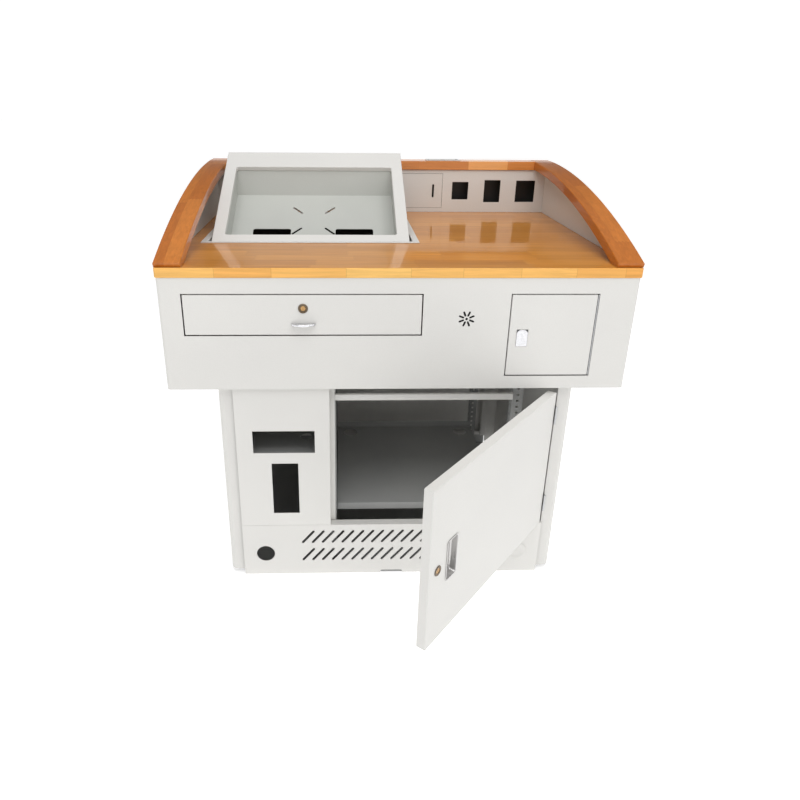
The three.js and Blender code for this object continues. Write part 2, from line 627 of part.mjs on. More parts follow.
function addUpperBack(parent) {
  const shape = rectangle(-SKIN_X + GAP, SKIN_X - GAP, UPPER_Z, railUnder(DEPTH) - GAP);
  add(parent, "upper_back_panel", upright(shape, DEPTH - SHEET, DEPTH), paint);
}

function addRiser(parent) {
  const x = SKIN_X - GAP;
  const openings = CUTS.map(([left, w, low, h]) => rectangle(left, left + w, TOP_Z + low, TOP_Z + low + h));
  const [left, w, low, h] = HATCH;
  openings.push(rectangle(left, left + w, TOP_Z + low, TOP_Z + low + h));
  const wall = rectangle(-x, x, TOP_Z + GAP, railUnder(RISER_Y) - GAP);
  add(parent, "riser_wall", upright(wall, RISER_Y, RISER_Y + SHEET, openings), paint);

  const pinX = left + HATCH_PIN_RADIUS + 0.8;
  const free = left + w - HATCH_GAP;
  const [z0, z1] = [TOP_Z + low + HATCH_GAP, TOP_Z + low + h - HATCH_GAP];
  const [slotW, slotH, slotIn] = HATCH_SLOT;
  const grip = slot(
    free - slotIn, (z0 + z1) / 2 - (slotH - slotW) / 2, free - slotIn, (z0 + z1) / 2 + (slotH - slotW) / 2, slotW,
  );
  const panel = rectangle(pinX + HATCH_PIN_RADIUS + 0.8, free, z0, z1);
  add(parent, "riser_hatch", upright(panel, RISER_Y, RISER_Y + SHEET, [grip]), paint);
  const pin = cylinderAlong("z", pinX, RISER_Y + SHEET / 2, (z0 + z1) / 2, HATCH_PIN_RADIUS, z1 - z0 - 4, 12);
  add(parent, "riser_hatch_pin", pin, zinc);
}

// ---- Keyboard drawer ----------------------------------------------------------------------

function addDrawer(parent) {
  const [x0, x1] = DRAWER_X;
  const [z0, z1] = DRAWER_Z;
  const [face, back] = [UPPER_Y, UPPER_Y + FRONT_THICKNESS];
  const middle = (x0 + x1) / 2;
  const lockZ = z1 - DRAWER_LOCK_DROP;
  const rim = FRONT_GAP + SHEET;
  const front = cut(
    block(x0 + FRONT_GAP, x1 - FRONT_GAP, face, back, z0 + FRONT_GAP, z1 - FRONT_GAP),
    block(x0 + rim, x1 - rim, face + SHEET, back - SHEET, z0 + rim, z1 - rim),
    cylinderAlong("y", middle, (face + back) / 2, lockZ, LOCK_RADIUS + GAP, 40),
  );
  add(parent, "drawer_front", front, paint);
  add(parent, "drawer_lock", lockWithCam(middle, face, lockZ, FRONT_THICKNESS + 5, "right"), brass);

  const [t0, t1] = [x0 + TRAY_SIDE, x1 - TRAY_SIDE];
  const [y0, y1] = [back + GAP, back + GAP + DRAWER[2]];
  const floor = z0 + TRAY_RAISE;
  const tray = cut(
    block(t0, t1, y0, y1, floor, floor + TRAY_HEIGHT),
    block(t0 + SHEET, t1 - SHEET, y0 - 1, y1 - SHEET, floor + SHEET, floor + TRAY_HEIGHT + 1),
  );
  add(parent, "drawer_tray", tray, innerPaint);

  const [w, reach, thick] = DRAWER_PULL;
  const pull = [];
  for (let i = 0; i <= 12; i++) {
    const t = Math.PI + (Math.PI * i) / 12;
    pull.push([middle + (w / 2) * Math.cos(t), face - GAP + reach * Math.sin(t)]);
  }
  const pullZ = z0 + DRAWER_PULL_Z;
  add(parent, "drawer_pull", flat(outline(pull), pullZ - thick / 2, pullZ + thick / 2), zinc);

  const s0 = floor + (TRAY_HEIGHT - SLIDE_HEIGHT) / 2;
  const s1 = s0 + SLIDE_HEIGHT;
  for (const [side, edge, name] of [[-1, t0, "left"], [1, t1, "right"]]) {
    const web = TRAY_SIDE - 3; // slide depth beside the tray
    const top = BOARD_Z - GAP;
    const hanger = outline(
      [
        [2, s0], [web + SHEET, s0], [web + SHEET, top - SHEET], [web + 20, top - SHEET], [web + 20, top],
        [web, top], [web, s1], [2, s1], [2, s1 - SHEET], [web, s1 - SHEET], [web, s0 + SHEET], [2, s0 + SHEET],
      ].map(([a, z]) => [edge + side * a, z]),
    );
    add(parent, `drawer_slide_${name}`, upright(hanger, y0 + 4, y1), zinc);
    const runner = [edge + side * GAP, edge + side * (web - 0.6)].sort((a, b) => a - b);
    add(parent, `drawer_runner_${name}`, block(...runner, y0 + 4, y1 - 4, s0 + SHEET + 0.5, s1 - SHEET - 0.5), zinc);
  }
}

// ---- Side door and its compartment ----------------------------------------------------------

function addSideDoor(parent) {
  const [x0, x1] = SIDE_X;
  const [z0, z1] = SIDE_Z;
  const y = UPPER_Y + SHEET + GAP;
  const shell = cut(
    block(x0 - 1 - SHEET, x1 + 1 + SHEET, y, y + SIDE_DEPTH, z0 - 1 - SHEET, z1 + 1 + SHEET),
    block(x0 - 1, x1 + 1, y - 1, y + SIDE_DEPTH - SHEET, z0 - 1, z1 + 1),
  );
  add(parent, "side_compartment", shell, innerPaint);

  const [free, hinge] = [x0 + FRONT_GAP, x1 - SIDE_PIN_GAP];
  const [face, back] = [UPPER_Y, UPPER_Y + FRONT_THICKNESS];
  const [latchX, latchZ] = [x0 + LATCH_INSET, (z0 + z1) / 2 - 5];
  const [w, h, depth] = LATCH;
  const rim = FRONT_GAP + SHEET;
  const door = cut(
    block(free, hinge, face, back, z0 + FRONT_GAP, z1 - FRONT_GAP),
    block(free + SHEET, hinge - SHEET, face + SHEET, back - SHEET, z0 + rim, z1 - rim),
    block(latchX - w / 2, latchX + w / 2, face - 1, face + depth, latchZ - h / 2, latchZ + h / 2),
  );
  add(parent, "side_door", door, paint);
  const plate = block(
    latchX - w / 2 + 0.6, latchX + w / 2 - 0.6, face - 0.8, face + depth - 0.6, latchZ - h / 2 + 0.6, latchZ + h / 2 - 0.6,
  );
  add(parent, "side_door_latch", plate, chrome);
  const pinX = x1 - SIDE_PIN_GAP / 2;
  const pin = cylinderAlong("z", pinX, face + SIDE_PIN_RADIUS, (z0 + z1) / 2, SIDE_PIN_RADIUS, z1 - z0 - 2 * FRONT_GAP, 12);
  add(parent, "side_door_pin", pin, zinc);
}

// ---- Worktop and rails ----------------------------------------------------------------------

function addWorktop(parent) {
  const inner = SKIN_X - GAP;
  const [back, r] = [RISER_Y + SHEET + 20, 6];
  const points = [[-inner, back], [-inner, NOSING], [-HALF, NOSING]];
  for (let i = 0; i <= 4; i++) {
    const t = Math.PI + ((Math.PI / 2) * i) / 4;
    points.push([-HALF + r + r * Math.cos(t), r + r * Math.sin(t)]);
  }
  for (let i = 0; i <= 4; i++) {
    const t = 1.5 * Math.PI + ((Math.PI / 2) * i) / 4;
    points.push([HALF - r + r * Math.cos(t), r + r * Math.sin(t)]);
  }
  points.push([HALF, NOSING], [inner, NOSING], [inner, back]);
  const wall = SHEET + 0.5;
  const well = rectangle(WELL.x0 - wall, WELL.x1 + wall, WELL.y0 - wall, WELL.y1 + wall);
  add(parent, "worktop", flat(outline(points), BOARD_Z, TOP_Z, [well]), board);
}

function addRails(parent) {
  const floor = TOP_Z + GAP;
  for (const side of [-1, 1]) {
    const top = along(RAIL_START, DEPTH, 24, railTop);
    const under = along(RAIL_START + RAIL_UNDERCUT, DEPTH, 24, (y) => Math.max(railUnder(y), floor));
    const plank = outline([...under, ...top.reverse()]);
    const [a, b] = side > 0 ? [HALF - RAIL_WIDTH, HALF] : [-HALF, -HALF + RAIL_WIDTH];
    add(parent, side > 0 ? "right_rail" : "left_rail", sideways(plank, a, b), rail);
  }
  const x = HALF - RAIL_WIDTH - GAP;
  const [y0, y1] = [DEPTH - RAIL_WIDTH - 3, DEPTH];
  const [z0, z1] = [railUnder(DEPTH), railTop(DEPTH)];
  const micY = (y0 + y1) / 2 + 3;
  add(parent, "back_rail", flat(rectangle(-x, x, y0, y1), z0, z1, [disc(MIC_X, micY, MIC_HOLE_RADIUS, 20)]), rail);
  const [w, d] = MIC_PLATE;
  const plate = roundedRectangle(MIC_X - w / 2, MIC_X + w / 2, micY - d / 2, micY + d / 2, 4);
  add(parent, "microphone_plate", flat(plate, z1 + GAP, z1 + GAP + SHEET, [disc(MIC_X, micY, MIC_HOLE_RADIUS, 20)]), paint);
}

// ---- Tilting monitor frame ------------------------------------------------------------------

function addMonitor(parent) {
  const { x0, x1, y0, y1 } = WELL;
  const flangeZ = TOP_Z + GAP;
  const flange = flat(
    rectangle(x0 - FLANGE, x1 + FLANGE, y0 - FLANGE + 1.5, y1 + FLANGE_BACK), flangeZ, FLANGE_TOP,
    [rectangle(x0, x1, y0, y1)],
  );
  const skirt = flat(
    rectangle(x0 - SHEET, x1 + SHEET, y0 - SHEET, y1 + SHEET), FLANGE_TOP - SKIRT, FLANGE_TOP - 0.2,
    [rectangle(x0, x1, y0, y1)],
  );
  add(parent, "monitor_trim", join(flange, skirt), paint);

  const group = new THREE.Group();
  const front = y0 + BEZEL_END_GAP;
  group.position.set(WELL_X, front + PIVOT_IN, FLANGE_TOP - PIVOT_DOWN);
  group.rotation.x = THREE.MathUtils.degToRad(MONITOR_OPEN);
  parent.add(group);
  const v0 = -PIVOT_IN; // bezel's front edge, from the hinge line
  const [w, length, thick] = BEZEL;
  const [ow, oh, oFront] = SCREEN_OPENING;
  const screen = roundedRectangle(-ow / 2, ow / 2, v0 + oFront, v0 + oFront + oh, 6);
  const hingeX = w / 2 - 60;
  const reliefs = [-1, 1].map((side) =>
    block(side * hingeX - HINGE_LENGTH / 2 - 1, side * hingeX + HINGE_LENGTH / 2 + 1, v0 - 1, HINGE_RADIUS + 3,
      PIVOT_DOWN - thick - 1, PIVOT_DOWN - 2),
  );
  const bezel = flat(rectangle(-w / 2, w / 2, v0, v0 + length), PIVOT_DOWN - thick, PIVOT_DOWN, [screen]);
  const lip = [ow / 2 + BEZEL_LIP, v0 + oFront - BEZEL_LIP, v0 + oFront + oh + BEZEL_LIP];
  const hollow = flat(
    rectangle(-w / 2 + SHEET, w / 2 - SHEET, v0 + SHEET, v0 + length - SHEET),
    PIVOT_DOWN - thick - 1, PIVOT_DOWN - SHEET, [rectangle(-lip[0], lip[0], lip[1], lip[2])],
  );
  add(group, "monitor_bezel", cut(bezel, hollow, ...reliefs), paint);

  // Pocket behind the bezel that the monitor bolts into, open towards the bezel.
  const top = PIVOT_DOWN - thick - GAP;
  const bottom = PIVOT_DOWN - POCKET_DEPTH;
  const [p0, p1] = [v0 + oFront - POCKET_LIP, v0 + oFront + oh + POCKET_LIP];
  const foot = p1 - POCKET_SLOPE;
  const half = ow / 2 + POCKET_LIP;
  const outer = outline([
    [p0 - SHEET, bottom - SHEET], [foot + 0.7, bottom - SHEET], [p1 + SHEET, top], [p0 - SHEET, top],
  ]);
  const inner = outline([[p0, bottom], [foot, bottom], [p1 - 0.4, top + 1], [p0, top + 1]]);
  const middle = v0 + oFront + oh / 2;
  const through = [bottom - 10, bottom + 10];
  const tools = [sideways(inner, -half, half)];
  const [near, far, width] = BOLT_SLOTS;
  for (const sx of [-1, 1]) {
    for (const sy of [-1, 1]) {
      tools.push(flat(slot(sx * near, middle + sy * near, sx * far, middle + sy * far, width), ...through));
    }
    const [cw, ch, dx, dy] = CABLE_SLOT;
    const [cx, cy] = [sx * dx, middle - dy];
    tools.push(flat(roundedRectangle(cx - cw / 2, cx + cw / 2, cy - ch / 2, cy + ch / 2, 6), ...through));
  }
  add(group, "monitor_tray", cut(sideways(outer, -half - SHEET, half + SHEET), ...tools), innerPaint);

  for (const side of [-1, 1]) {
    const name = side < 0 ? "monitor_hinge_left" : "monitor_hinge_right";
    const [x, y, z] = [WELL_X + side * hingeX, front + PIVOT_IN, FLANGE_TOP - PIVOT_DOWN];
    const [left, right] = [x - HINGE_LENGTH / 2, x + HINGE_LENGTH / 2];
    const bracket = join(
      cylinderAlong("x", x, y, z, HINGE_RADIUS, HINGE_LENGTH, 20),
      block(left, right, y - 1.5, y + 1.5, z - 9, z),
      block(left, right, y0 + GAP, y + 1.5, z - 9, z - 7),
      block(left, right, y0 + GAP, y0 + GAP + 2, z - 14, z - 7),
    );
    add(parent, name, bracket, zinc);
  }
}

// ---- Assembly -------------------------------------------------------------------------------

const podium = new THREE.Group();
podium.position.set(0, -ORIGIN_Y, 0);

addBasePan(podium);
addVentPanel(podium);
addSidePanel(podium, "left_side_panel", -1);
addSidePanel(podium, "right_side_panel", 1);
addLeftFrontPanel(podium);
addDoorStops(podium);
addEquipmentBay(podium);
addMainDoor(podium);
addRearDoor(podium);

addUpperBottom(podium);
addUpperFront(podium);
addUpperSide(podium, "left_upper_side", -1);
addUpperSide(podium, "right_upper_side", 1);
addUpperBack(podium);
addWingLiner(podium, "left_wing_liner", -1);
addWingLiner(podium, "right_wing_liner", 1);
addRiser(podium);
addDrawer(podium);
addSideDoor(podium);

addWorktop(podium);
addRails(podium);
addMonitor(podium);

export default podium;
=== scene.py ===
# A teacher's podium: a folded sheet-steel cabinet in warm off-white powder coat, with a finger-jointed
# worktop, bent wooden arm rails, a tilting monitor frame and an equipment bay behind a hinged door.
# Metres, +X to the right of someone facing the front, +Y to the back, +Z up.
import json
import math

import bmesh
import bpy
from mathutils import Matrix, Vector


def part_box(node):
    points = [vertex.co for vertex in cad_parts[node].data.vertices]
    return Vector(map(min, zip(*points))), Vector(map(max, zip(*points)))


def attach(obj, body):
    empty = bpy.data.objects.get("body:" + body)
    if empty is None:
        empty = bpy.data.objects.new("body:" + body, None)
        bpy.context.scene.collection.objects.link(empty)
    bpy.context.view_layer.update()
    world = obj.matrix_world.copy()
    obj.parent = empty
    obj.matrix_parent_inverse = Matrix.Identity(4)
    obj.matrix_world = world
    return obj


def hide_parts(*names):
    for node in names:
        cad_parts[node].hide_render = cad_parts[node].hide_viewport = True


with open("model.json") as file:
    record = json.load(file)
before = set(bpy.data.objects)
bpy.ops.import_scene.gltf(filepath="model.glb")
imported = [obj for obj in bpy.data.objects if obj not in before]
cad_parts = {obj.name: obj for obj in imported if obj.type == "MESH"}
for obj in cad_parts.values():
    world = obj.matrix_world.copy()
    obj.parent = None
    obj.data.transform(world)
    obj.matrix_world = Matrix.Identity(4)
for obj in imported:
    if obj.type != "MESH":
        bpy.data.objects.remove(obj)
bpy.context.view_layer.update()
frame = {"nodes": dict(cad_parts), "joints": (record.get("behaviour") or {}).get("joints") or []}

# ---- Camera and studio ---------------------------------------------------------------------------
# A standing visitor's view, a little to the left of the podium and looking down on it. The studio is a
# pale floor, a white screen low around it, an even front, a dark upper back, and one wide light overhead.

CAMERA_PLACE = Vector((-0.127, -1.7014, 1.1584))
CAMERA_TURN = math.radians(1.834)
CAMERA_DOWN = math.radians(22.16)
CAMERA_ROLL = math.radians(0.503)

camera_data = bpy.data.cameras.new("camera")
camera_data.lens = 29.295
camera_data.sensor_width = 36
camera_data.shift_x = 0.0486
camera_data.shift_y = -0.0513
camera_data.clip_start = 0.05
camera_data.clip_end = 100
camera = bpy.data.objects.new("camera", camera_data)
heading = Matrix.Rotation(-CAMERA_TURN, 4, "Z") @ Matrix.Rotation(math.pi / 2 - CAMERA_DOWN, 4, "X")
camera.matrix_world = Matrix.Translation(CAMERA_PLACE) @ heading @ Matrix.Rotation(CAMERA_ROLL, 4, "Z")
bpy.context.scene.collection.objects.link(camera)
bpy.context.scene.camera = camera
bpy.context.scene.view_settings.view_transform = "Standard"


def colour_ramp(nodes, stops):
    """A node that carries a factor through (position, colour) stops."""
    ramp = nodes.new("ShaderNodeValToRGB")
    while len(ramp.color_ramp.elements) < len(stops):
        ramp.color_ramp.elements.new(0.5)
    for element, (position, colour) in zip(ramp.color_ramp.elements, stops):
        element.position = position
        element.color = (*colour, 1)
    return ramp


sky = bpy.data.worlds.new("studio sky")
sky.use_nodes = True
sky_nodes, sky_links = sky.node_tree.nodes, sky.node_tree.links
sky_place = sky_nodes.new("ShaderNodeTexCoord")
sky_axes = sky_nodes.new("ShaderNodeSeparateXYZ")
sky_links.new(sky_place.outputs["Generated"], sky_axes.inputs[0])
SKY_STOPS = (  # height, brightness: from the horizon to straight overhead
    ((0, 0.66), (0.5, 0.6), (0.95, 0.5)),  # in front
    ((0.125, 1.1), (0.165, 0.14), (0.5, 0.14), (0.9, 0.6)),  # behind
)
SKY_TURN = (-0.1, 0.25)  # how far back the front gives way to the back
sky_sides = []
for stops in SKY_STOPS:
    ramp = colour_ramp(sky_nodes, [(height, [brightness] * 3) for height, brightness in stops])
    sky_links.new(sky_axes.outputs["Z"], ramp.inputs["Fac"])
    sky_sides.append(ramp.outputs["Color"])
sky_turn = sky_nodes.new("ShaderNodeMapRange")
sky_turn.inputs["From Min"].default_value = SKY_TURN[0]
sky_turn.inputs["From Max"].default_value = SKY_TURN[1]
sky_links.new(sky_axes.outputs["Y"], sky_turn.inputs["Value"])
sky_mix = sky_nodes.new("ShaderNodeMixRGB")
sky_links.new(sky_turn.outputs["Result"], sky_mix.inputs["Fac"])
sky_links.new(sky_sides[0], sky_mix.inputs["Color1"])
sky_links.new(sky_sides[1], sky_mix.inputs["Color2"])
sky_links.new(sky_mix.outputs["Color"], sky_nodes["Background"].inputs["Color"])
bpy.context.scene.world = sky

STUDIO_LIGHTS = [  # name, place, width, height, watts
    ("overhead light", (0.1, -1.2, 3.1), 2.6, 2.2, 46),
    ("side light", (3.2, -1.6, 2.4), 2.0, 2.0, 8),
]
for name, place, width, height, watts in STUDIO_LIGHTS:
    light = bpy.data.lights.new(name, "AREA")
    light.shape = "RECTANGLE"
    light.size = width
    light.size_y = height
    light.energy = watts
    lamp = bpy.data.objects.new(name, light)
    aim = Vector((0, 0, 0.55)) - Vector(place)
    lamp.matrix_world = Matrix.Translation(place) @ aim.to_track_quat("-Z", "Y").to_matrix().to_4x4()
    bpy.context.scene.collection.objects.link(lamp)

floor_mesh = bpy.data.meshes.new("floor")
floor_shape = bmesh.new()
bmesh.ops.create_grid(floor_shape, x_segments=1, y_segments=1, size=30)
floor_shape.to_mesh(floor_mesh)
floor_shape.free()
floor = bpy.data.objects.new("floor", floor_mesh)
bpy.context.scene.collection.objects.link(floor)
floor_paint = bpy.data.materials.new("floor_paint")
floor_paint.use_nodes = True
floor_shader = floor_paint.node_tree.nodes["Principled BSDF"]
floor_shader.inputs["Base Color"].default_value = (0.93, 0.93, 0.93, 1)
floor_shader.inputs["Roughness"].default_value = 0.9
floor_shader.inputs["Emission Color"].default_value = (1, 1, 1, 1)
floor_shader.inputs["Emission Strength"].default_value = 0.57
floor_mesh.materials.append(floor_paint)

# ---- Base pan ------------------------------------------------------------------------------------
# The cabinet's floor is a pan of 1.5 mm steel, folded up at the front and back and welded between
# the side panels. Pieces inside the cabinet have the same powder coat as the outside, but are given a
# darker grey here: a painted shade for the little light that reaches into the cabinet.

STEEL = 0.0015
EDGE = 0.0004  # a sheared edge under its coat of powder
MERGE = 0.00001  # closer points are one point
TOUCH = 0.0001  # closer faces are in one plane
FLAT = math.radians(0.5)
SHARP = math.radians(32)
SQUARE = math.radians(60)


def add_node(nodes, kind, settings):
    """A new shader node with some of its inputs set, by their names."""
    node = nodes.new(kind)
    for name, value in settings.items():
        node.inputs[name].default_value = value
    return node


def map_range(nodes, start, end, low, high):
    """A node that carries start to low and end to high."""
    settings = {"From Min": start, "From Max": end, "To Min": low, "To Max": high}
    return add_node(nodes, "ShaderNodeMapRange", settings)


def cut_plane(shape, spot, normal, clear=False):
    """Cuts a shape along a plane, and clears what lies beyond it if asked."""
    everything = shape.verts[:] + shape.edges[:] + shape.faces[:]
    bmesh.ops.bisect_plane(shape, geom=everything, plane_co=spot, plane_no=normal, clear_outer=clear)


def new_material(name):
    """A material, its nodes and links, its shader, and the output that gives the object's coordinates."""
    material = bpy.data.materials.new(name)
    material.use_nodes = True
    tree = material.node_tree
    place = tree.nodes.new("ShaderNodeTexCoord").outputs["Object"]
    return material, tree.nodes, tree.links, tree.nodes["Principled BSDF"], place


def roughen(nodes, links, height, strength, distance):
    """Lets a height move a material's normal."""
    bump = add_node(nodes, "ShaderNodeBump", {"Strength": strength, "Distance": distance})
    links.new(height, bump.inputs["Height"])
    links.new(bump.outputs["Normal"], nodes["Principled BSDF"].inputs["Normal"])


def powder_coat(name, colour, shade, peel=0.00006):
    """Baked powder: a fine orange peel, a satin gloss that varies a little, and faint clouding."""
    material, nodes, links, shader, place = new_material(name)

    clouds = add_node(nodes, "ShaderNodeTexNoise", {"Scale": 3.5, "Detail": 3})
    links.new(place, clouds.inputs["Vector"])
    tint = colour_ramp(nodes, ((0.32, shade), (0.68, colour)))
    links.new(clouds.outputs["Fac"], tint.inputs["Fac"])

    specks = add_node(nodes, "ShaderNodeTexNoise", {"Scale": 650, "Detail": 1})
    links.new(place, specks.inputs["Vector"])
    fleck = map_range(nodes, 0.3, 0.7, 0.975, 1.015)
    links.new(specks.outputs["Fac"], fleck.inputs["Value"])
    speckled = nodes.new("ShaderNodeVectorMath")
    speckled.operation = "SCALE"
    links.new(tint.outputs["Color"], speckled.inputs[0])
    links.new(fleck.outputs["Result"], speckled.inputs["Scale"])
    links.new(speckled.outputs["Vector"], shader.inputs["Base Color"])

    gloss = add_node(nodes, "ShaderNodeMapRange", {"To Min": 0.36, "To Max": 0.5})
    links.new(clouds.outputs["Fac"], gloss.inputs["Value"])
    links.new(gloss.outputs["Result"], shader.inputs["Roughness"])

    skin = add_node(nodes, "ShaderNodeTexVoronoi", {"Scale": 520})
    skin.feature = "SMOOTH_F1"
    links.new(place, skin.inputs["Vector"])
    roughen(nodes, links, skin.outputs["Distance"], 0.35, peel)
    return material


def cad_shape(node):
    """A working copy of a CAD node's solid, with its doubles merged and its flat faces whole."""
    shape = bmesh.new()
    shape.from_mesh(frame["nodes"][node].data)
    bmesh.ops.remove_doubles(shape, verts=shape.verts, dist=MERGE)
    bmesh.ops.dissolve_limit(shape, angle_limit=FLAT, verts=shape.verts, edges=shape.edges)
    return shape


def ease(shape, radius, segments=2, where=None):
    """Rounds the sharp edges of a shape, or those of them that where() picks."""
    sharp = [
        e for e in shape.edges
        if len(e.link_faces) == 2 and e.calc_face_angle() > SHARP and (where is None or where(e))
    ]
    bmesh.ops.bevel(
        shape, geom=sharp, offset=radius, segments=segments, profile=0.5, affect="EDGES", material=-1,
        clamp_overlap=True,
    )


def face_out(shape, direction):
    """Turns an open sheet so that its largest face looks towards a direction."""
    bmesh.ops.recalc_face_normals(shape, faces=shape.faces)
    widest = max(shape.faces, key=lambda face: face.calc_area())
    if widest.normal.dot(Vector(direction)) < 0:
        bmesh.ops.reverse_faces(shape, faces=shape.faces)


def make_piece(name, shape, materials, body, slot, *nodes, sheet=0):
    """Turns a finished shape into an object that rides on a body and stands for CAD nodes.

    A shape that is a bare surface gets the thickness given as sheet, on its inner side."""
    mesh = bpy.data.meshes.new(name)
    shape.to_mesh(mesh)
    shape.free()
    for material in materials if isinstance(materials, list) else [materials]:
        mesh.materials.append(material)
    mesh.shade_smooth()
    mesh.set_sharp_from_angle(angle=SHARP)
    piece = bpy.data.objects.new(name, mesh)
    bpy.context.scene.collection.objects.link(piece)
    if sheet:
        wall = piece.modifiers.new("Solidify", "SOLIDIFY")
        wall.thickness = sheet
        wall.offset = -1
        rim = piece.modifiers.new("Bevel", "BEVEL")
        rim.width = min(EDGE, sheet / 4)
        rim.segments = 2
        rim.limit_method = "ANGLE"
        rim.angle_limit = math.radians(50)
    flatten = piece.modifiers.new("Weighted Normal", "WEIGHTED_NORMAL")
    flatten.keep_sharp = True
    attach(piece, body)
    if nodes:
        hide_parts(*nodes)
    return piece


def dress(node, name, material, slot, radius=EDGE, body="cabinet"):
    """A CAD node's sheet metal with its sheared edges eased."""
    shape = cad_shape(node)
    ease(shape, radius)
    return make_piece(name, shape, material, body, slot, node)


coat = powder_coat("steel_paint", (0.715, 0.705, 0.677), (0.685, 0.675, 0.65))
# Inside pieces: a darker copy of the powder coat, painted shade for the dim inside of the cabinet.
shaded_inner_coat = powder_coat("inner_paint", (0.36, 0.364, 0.355), (0.31, 0.314, 0.31))

dress("base_pan", "floor_pan", shaded_inner_coat, "inner_paint")

# ---- Vent panel ----------------------------------------------------------------------------------
# The lowest strip of the front: two rows of punched slanting vents, a cable hole on each side and a
# toe lip that folds back above the floor, with a finger notch in its middle.

dress("vent_panel", "front_vents", coat, "steel_paint")

# ---- Cable hole cap ------------------------------------------------------------------------------
# The right-hand cable hole isn't used, so a pressed blanking cap fills it: a shallow dished disc with
# a rolled rim, painted with the cabinet.


def turned(profile, axis_point, axis, steps=48):
    """A round solid: an outline of (radius, height) points spun once about an axis."""
    shape = bmesh.new()
    verts = [shape.verts.new((r, 0, h)) for r, h in profile]
    edges = [shape.edges.new(pair) for pair in zip(verts, verts[1:])]
    bmesh.ops.spin(
        shape, geom=verts + edges, cent=(0, 0, 0), axis=(0, 0, 1), dvec=(0, 0, 0), angle=math.tau,
        steps=steps, use_merge=True, use_normal_flip=False,
    )
    bmesh.ops.remove_doubles(shape, verts=shape.verts, dist=0.000002)
    bmesh.ops.recalc_face_normals(shape, faces=shape.faces)
    turn = Vector((0, 0, 1)).rotation_difference(Vector(axis)).to_matrix()
    bmesh.ops.rotate(shape, cent=(0, 0, 0), matrix=turn, verts=shape.verts)
    bmesh.ops.translate(shape, vec=Vector(axis_point), verts=shape.verts)
    return shape


low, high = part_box("cable_hole_cap")
cap_middle = Vector(((low.x + high.x) / 2, low.y, (low.z + high.z) / 2))
cap_radius = (high.x - low.x) / 2
CAP_PROFILE = [  # share of the cap's radius, height towards the front
    (0, -0.0012), (0.55, -0.0012), (0.66, -0.0006), (0.74, 0.0004), (0.86, 0.0010), (0.95, 0.0008),
    (1.0, -0.0002), (1.0, -0.0016), (0.9, -0.0024), (0.9, -0.009), (0.84, -0.009), (0.84, -0.003),
    (0, -0.003),
]
shape = turned([(r * cap_radius, h) for r, h in CAP_PROFILE], cap_middle + Vector((0, 0.001, 0)), (0, -1, 0))
make_piece("blanking_cap", shape, coat, "cabinet", "steel_paint", "cable_hole_cap")

# ---- Side panels ---------------------------------------------------------------------------------
# Each side of the lower cabinet is one folded sheet: a front return, a corner rolled to a 15 mm
# radius, the side itself and a rear return that the service door shuts against.

CORNER_RADIUS = 0.015
REAR_FOLD = 0.003



def moved(geometry, kind):
    """The verts, edges or faces in an operator's result."""
    return [part for part in geometry if isinstance(part, kind)]


def carry(shape, matrix):
    """Moves a whole shape by a matrix."""
    bmesh.ops.transform(shape, matrix=matrix, verts=shape.verts)


def grow(shape, faces):
    """Gives faces a new copy of themselves that can move away, joined by walls, and returns its verts."""
    return moved(bmesh.ops.extrude_face_region(shape, geom=faces)["geom"], bmesh.types.BMVert)


def run_on(shape, edges, vector):
    """Carries a sheet's free edge straight on, and returns the new free edge."""
    made = bmesh.ops.extrude_edge_only(shape, edges=edges)["geom"]
    bmesh.ops.translate(shape, vec=vector, verts=moved(made, bmesh.types.BMVert))
    fresh = set(moved(made, bmesh.types.BMVert))
    return [edge for edge in moved(made, bmesh.types.BMEdge) if set(edge.verts) <= fresh]


def roll_on(shape, edges, centre, axis, angle, steps):
    """Rolls a sheet's free edge round a corner, and returns the new free edge."""
    made = bmesh.ops.spin(
        shape, geom=edges + list({v for e in edges for v in e.verts}), cent=centre, axis=axis,
        dvec=(0, 0, 0), angle=angle, steps=steps, use_merge=False,
    )["geom_last"]
    return moved(made, bmesh.types.BMEdge)


for side, name in ((-1, "left_side_panel"), (1, "right_side_panel")):
    low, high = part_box(name)
    outside = max(abs(low.x), abs(high.x))
    edge = min(abs(low.x), abs(high.x))
    shape = bmesh.new()
    foot = shape.verts.new((edge, low.y, low.z))
    head = shape.verts.new((edge, low.y, high.z))
    free = [shape.edges.new((foot, head))]
    free = run_on(shape, free, (outside - CORNER_RADIUS - edge, 0, 0))
    corner = (outside - CORNER_RADIUS, low.y + CORNER_RADIUS, 0)
    free = roll_on(shape, free, corner, (0, 0, 1), math.pi / 2, 14)
    free = run_on(shape, free, (0, high.y - low.y - CORNER_RADIUS - REAR_FOLD, 0))
    corner = (outside - REAR_FOLD, high.y - REAR_FOLD, 0)
    free = roll_on(shape, free, corner, (0, 0, 1), math.pi / 2, 6)
    run_on(shape, free, (edge - outside + REAR_FOLD, 0, 0))
    bmesh.ops.remove_doubles(shape, verts=shape.verts, dist=MERGE)
    if side < 0:
        bmesh.ops.scale(shape, vec=(-1, 1, 1), verts=shape.verts)
    face_out(shape, (side, 0, 0))
    make_piece(name.replace("panel", "sheet"), shape, coat, "cabinet", "steel_paint", name, sheet=STEEL)

# ---- Left front panel and the bay behind it ------------------------------------------------------
# A flat sheet with a wide and a tall cut-out for a control panel and sockets. Behind it a small
# shelf with a cable hole carries what hangs there, and a full-height divider closes the bay off.

dress("left_front_panel", "control_panel_front", coat, "steel_paint")
dress("left_bay_shelf", "small_shelf", shaded_inner_coat, "inner_paint")
dress("bay_divider", "divider_sheet", shaded_inner_coat, "inner_paint")

# ---- Door stops, cross rail and rear frame -------------------------------------------------------
# Folded strips welded round the two door openings, three of them in one frame at the back. The doors
# shut against them, and the cross rail ties the fronts of the rack posts together.

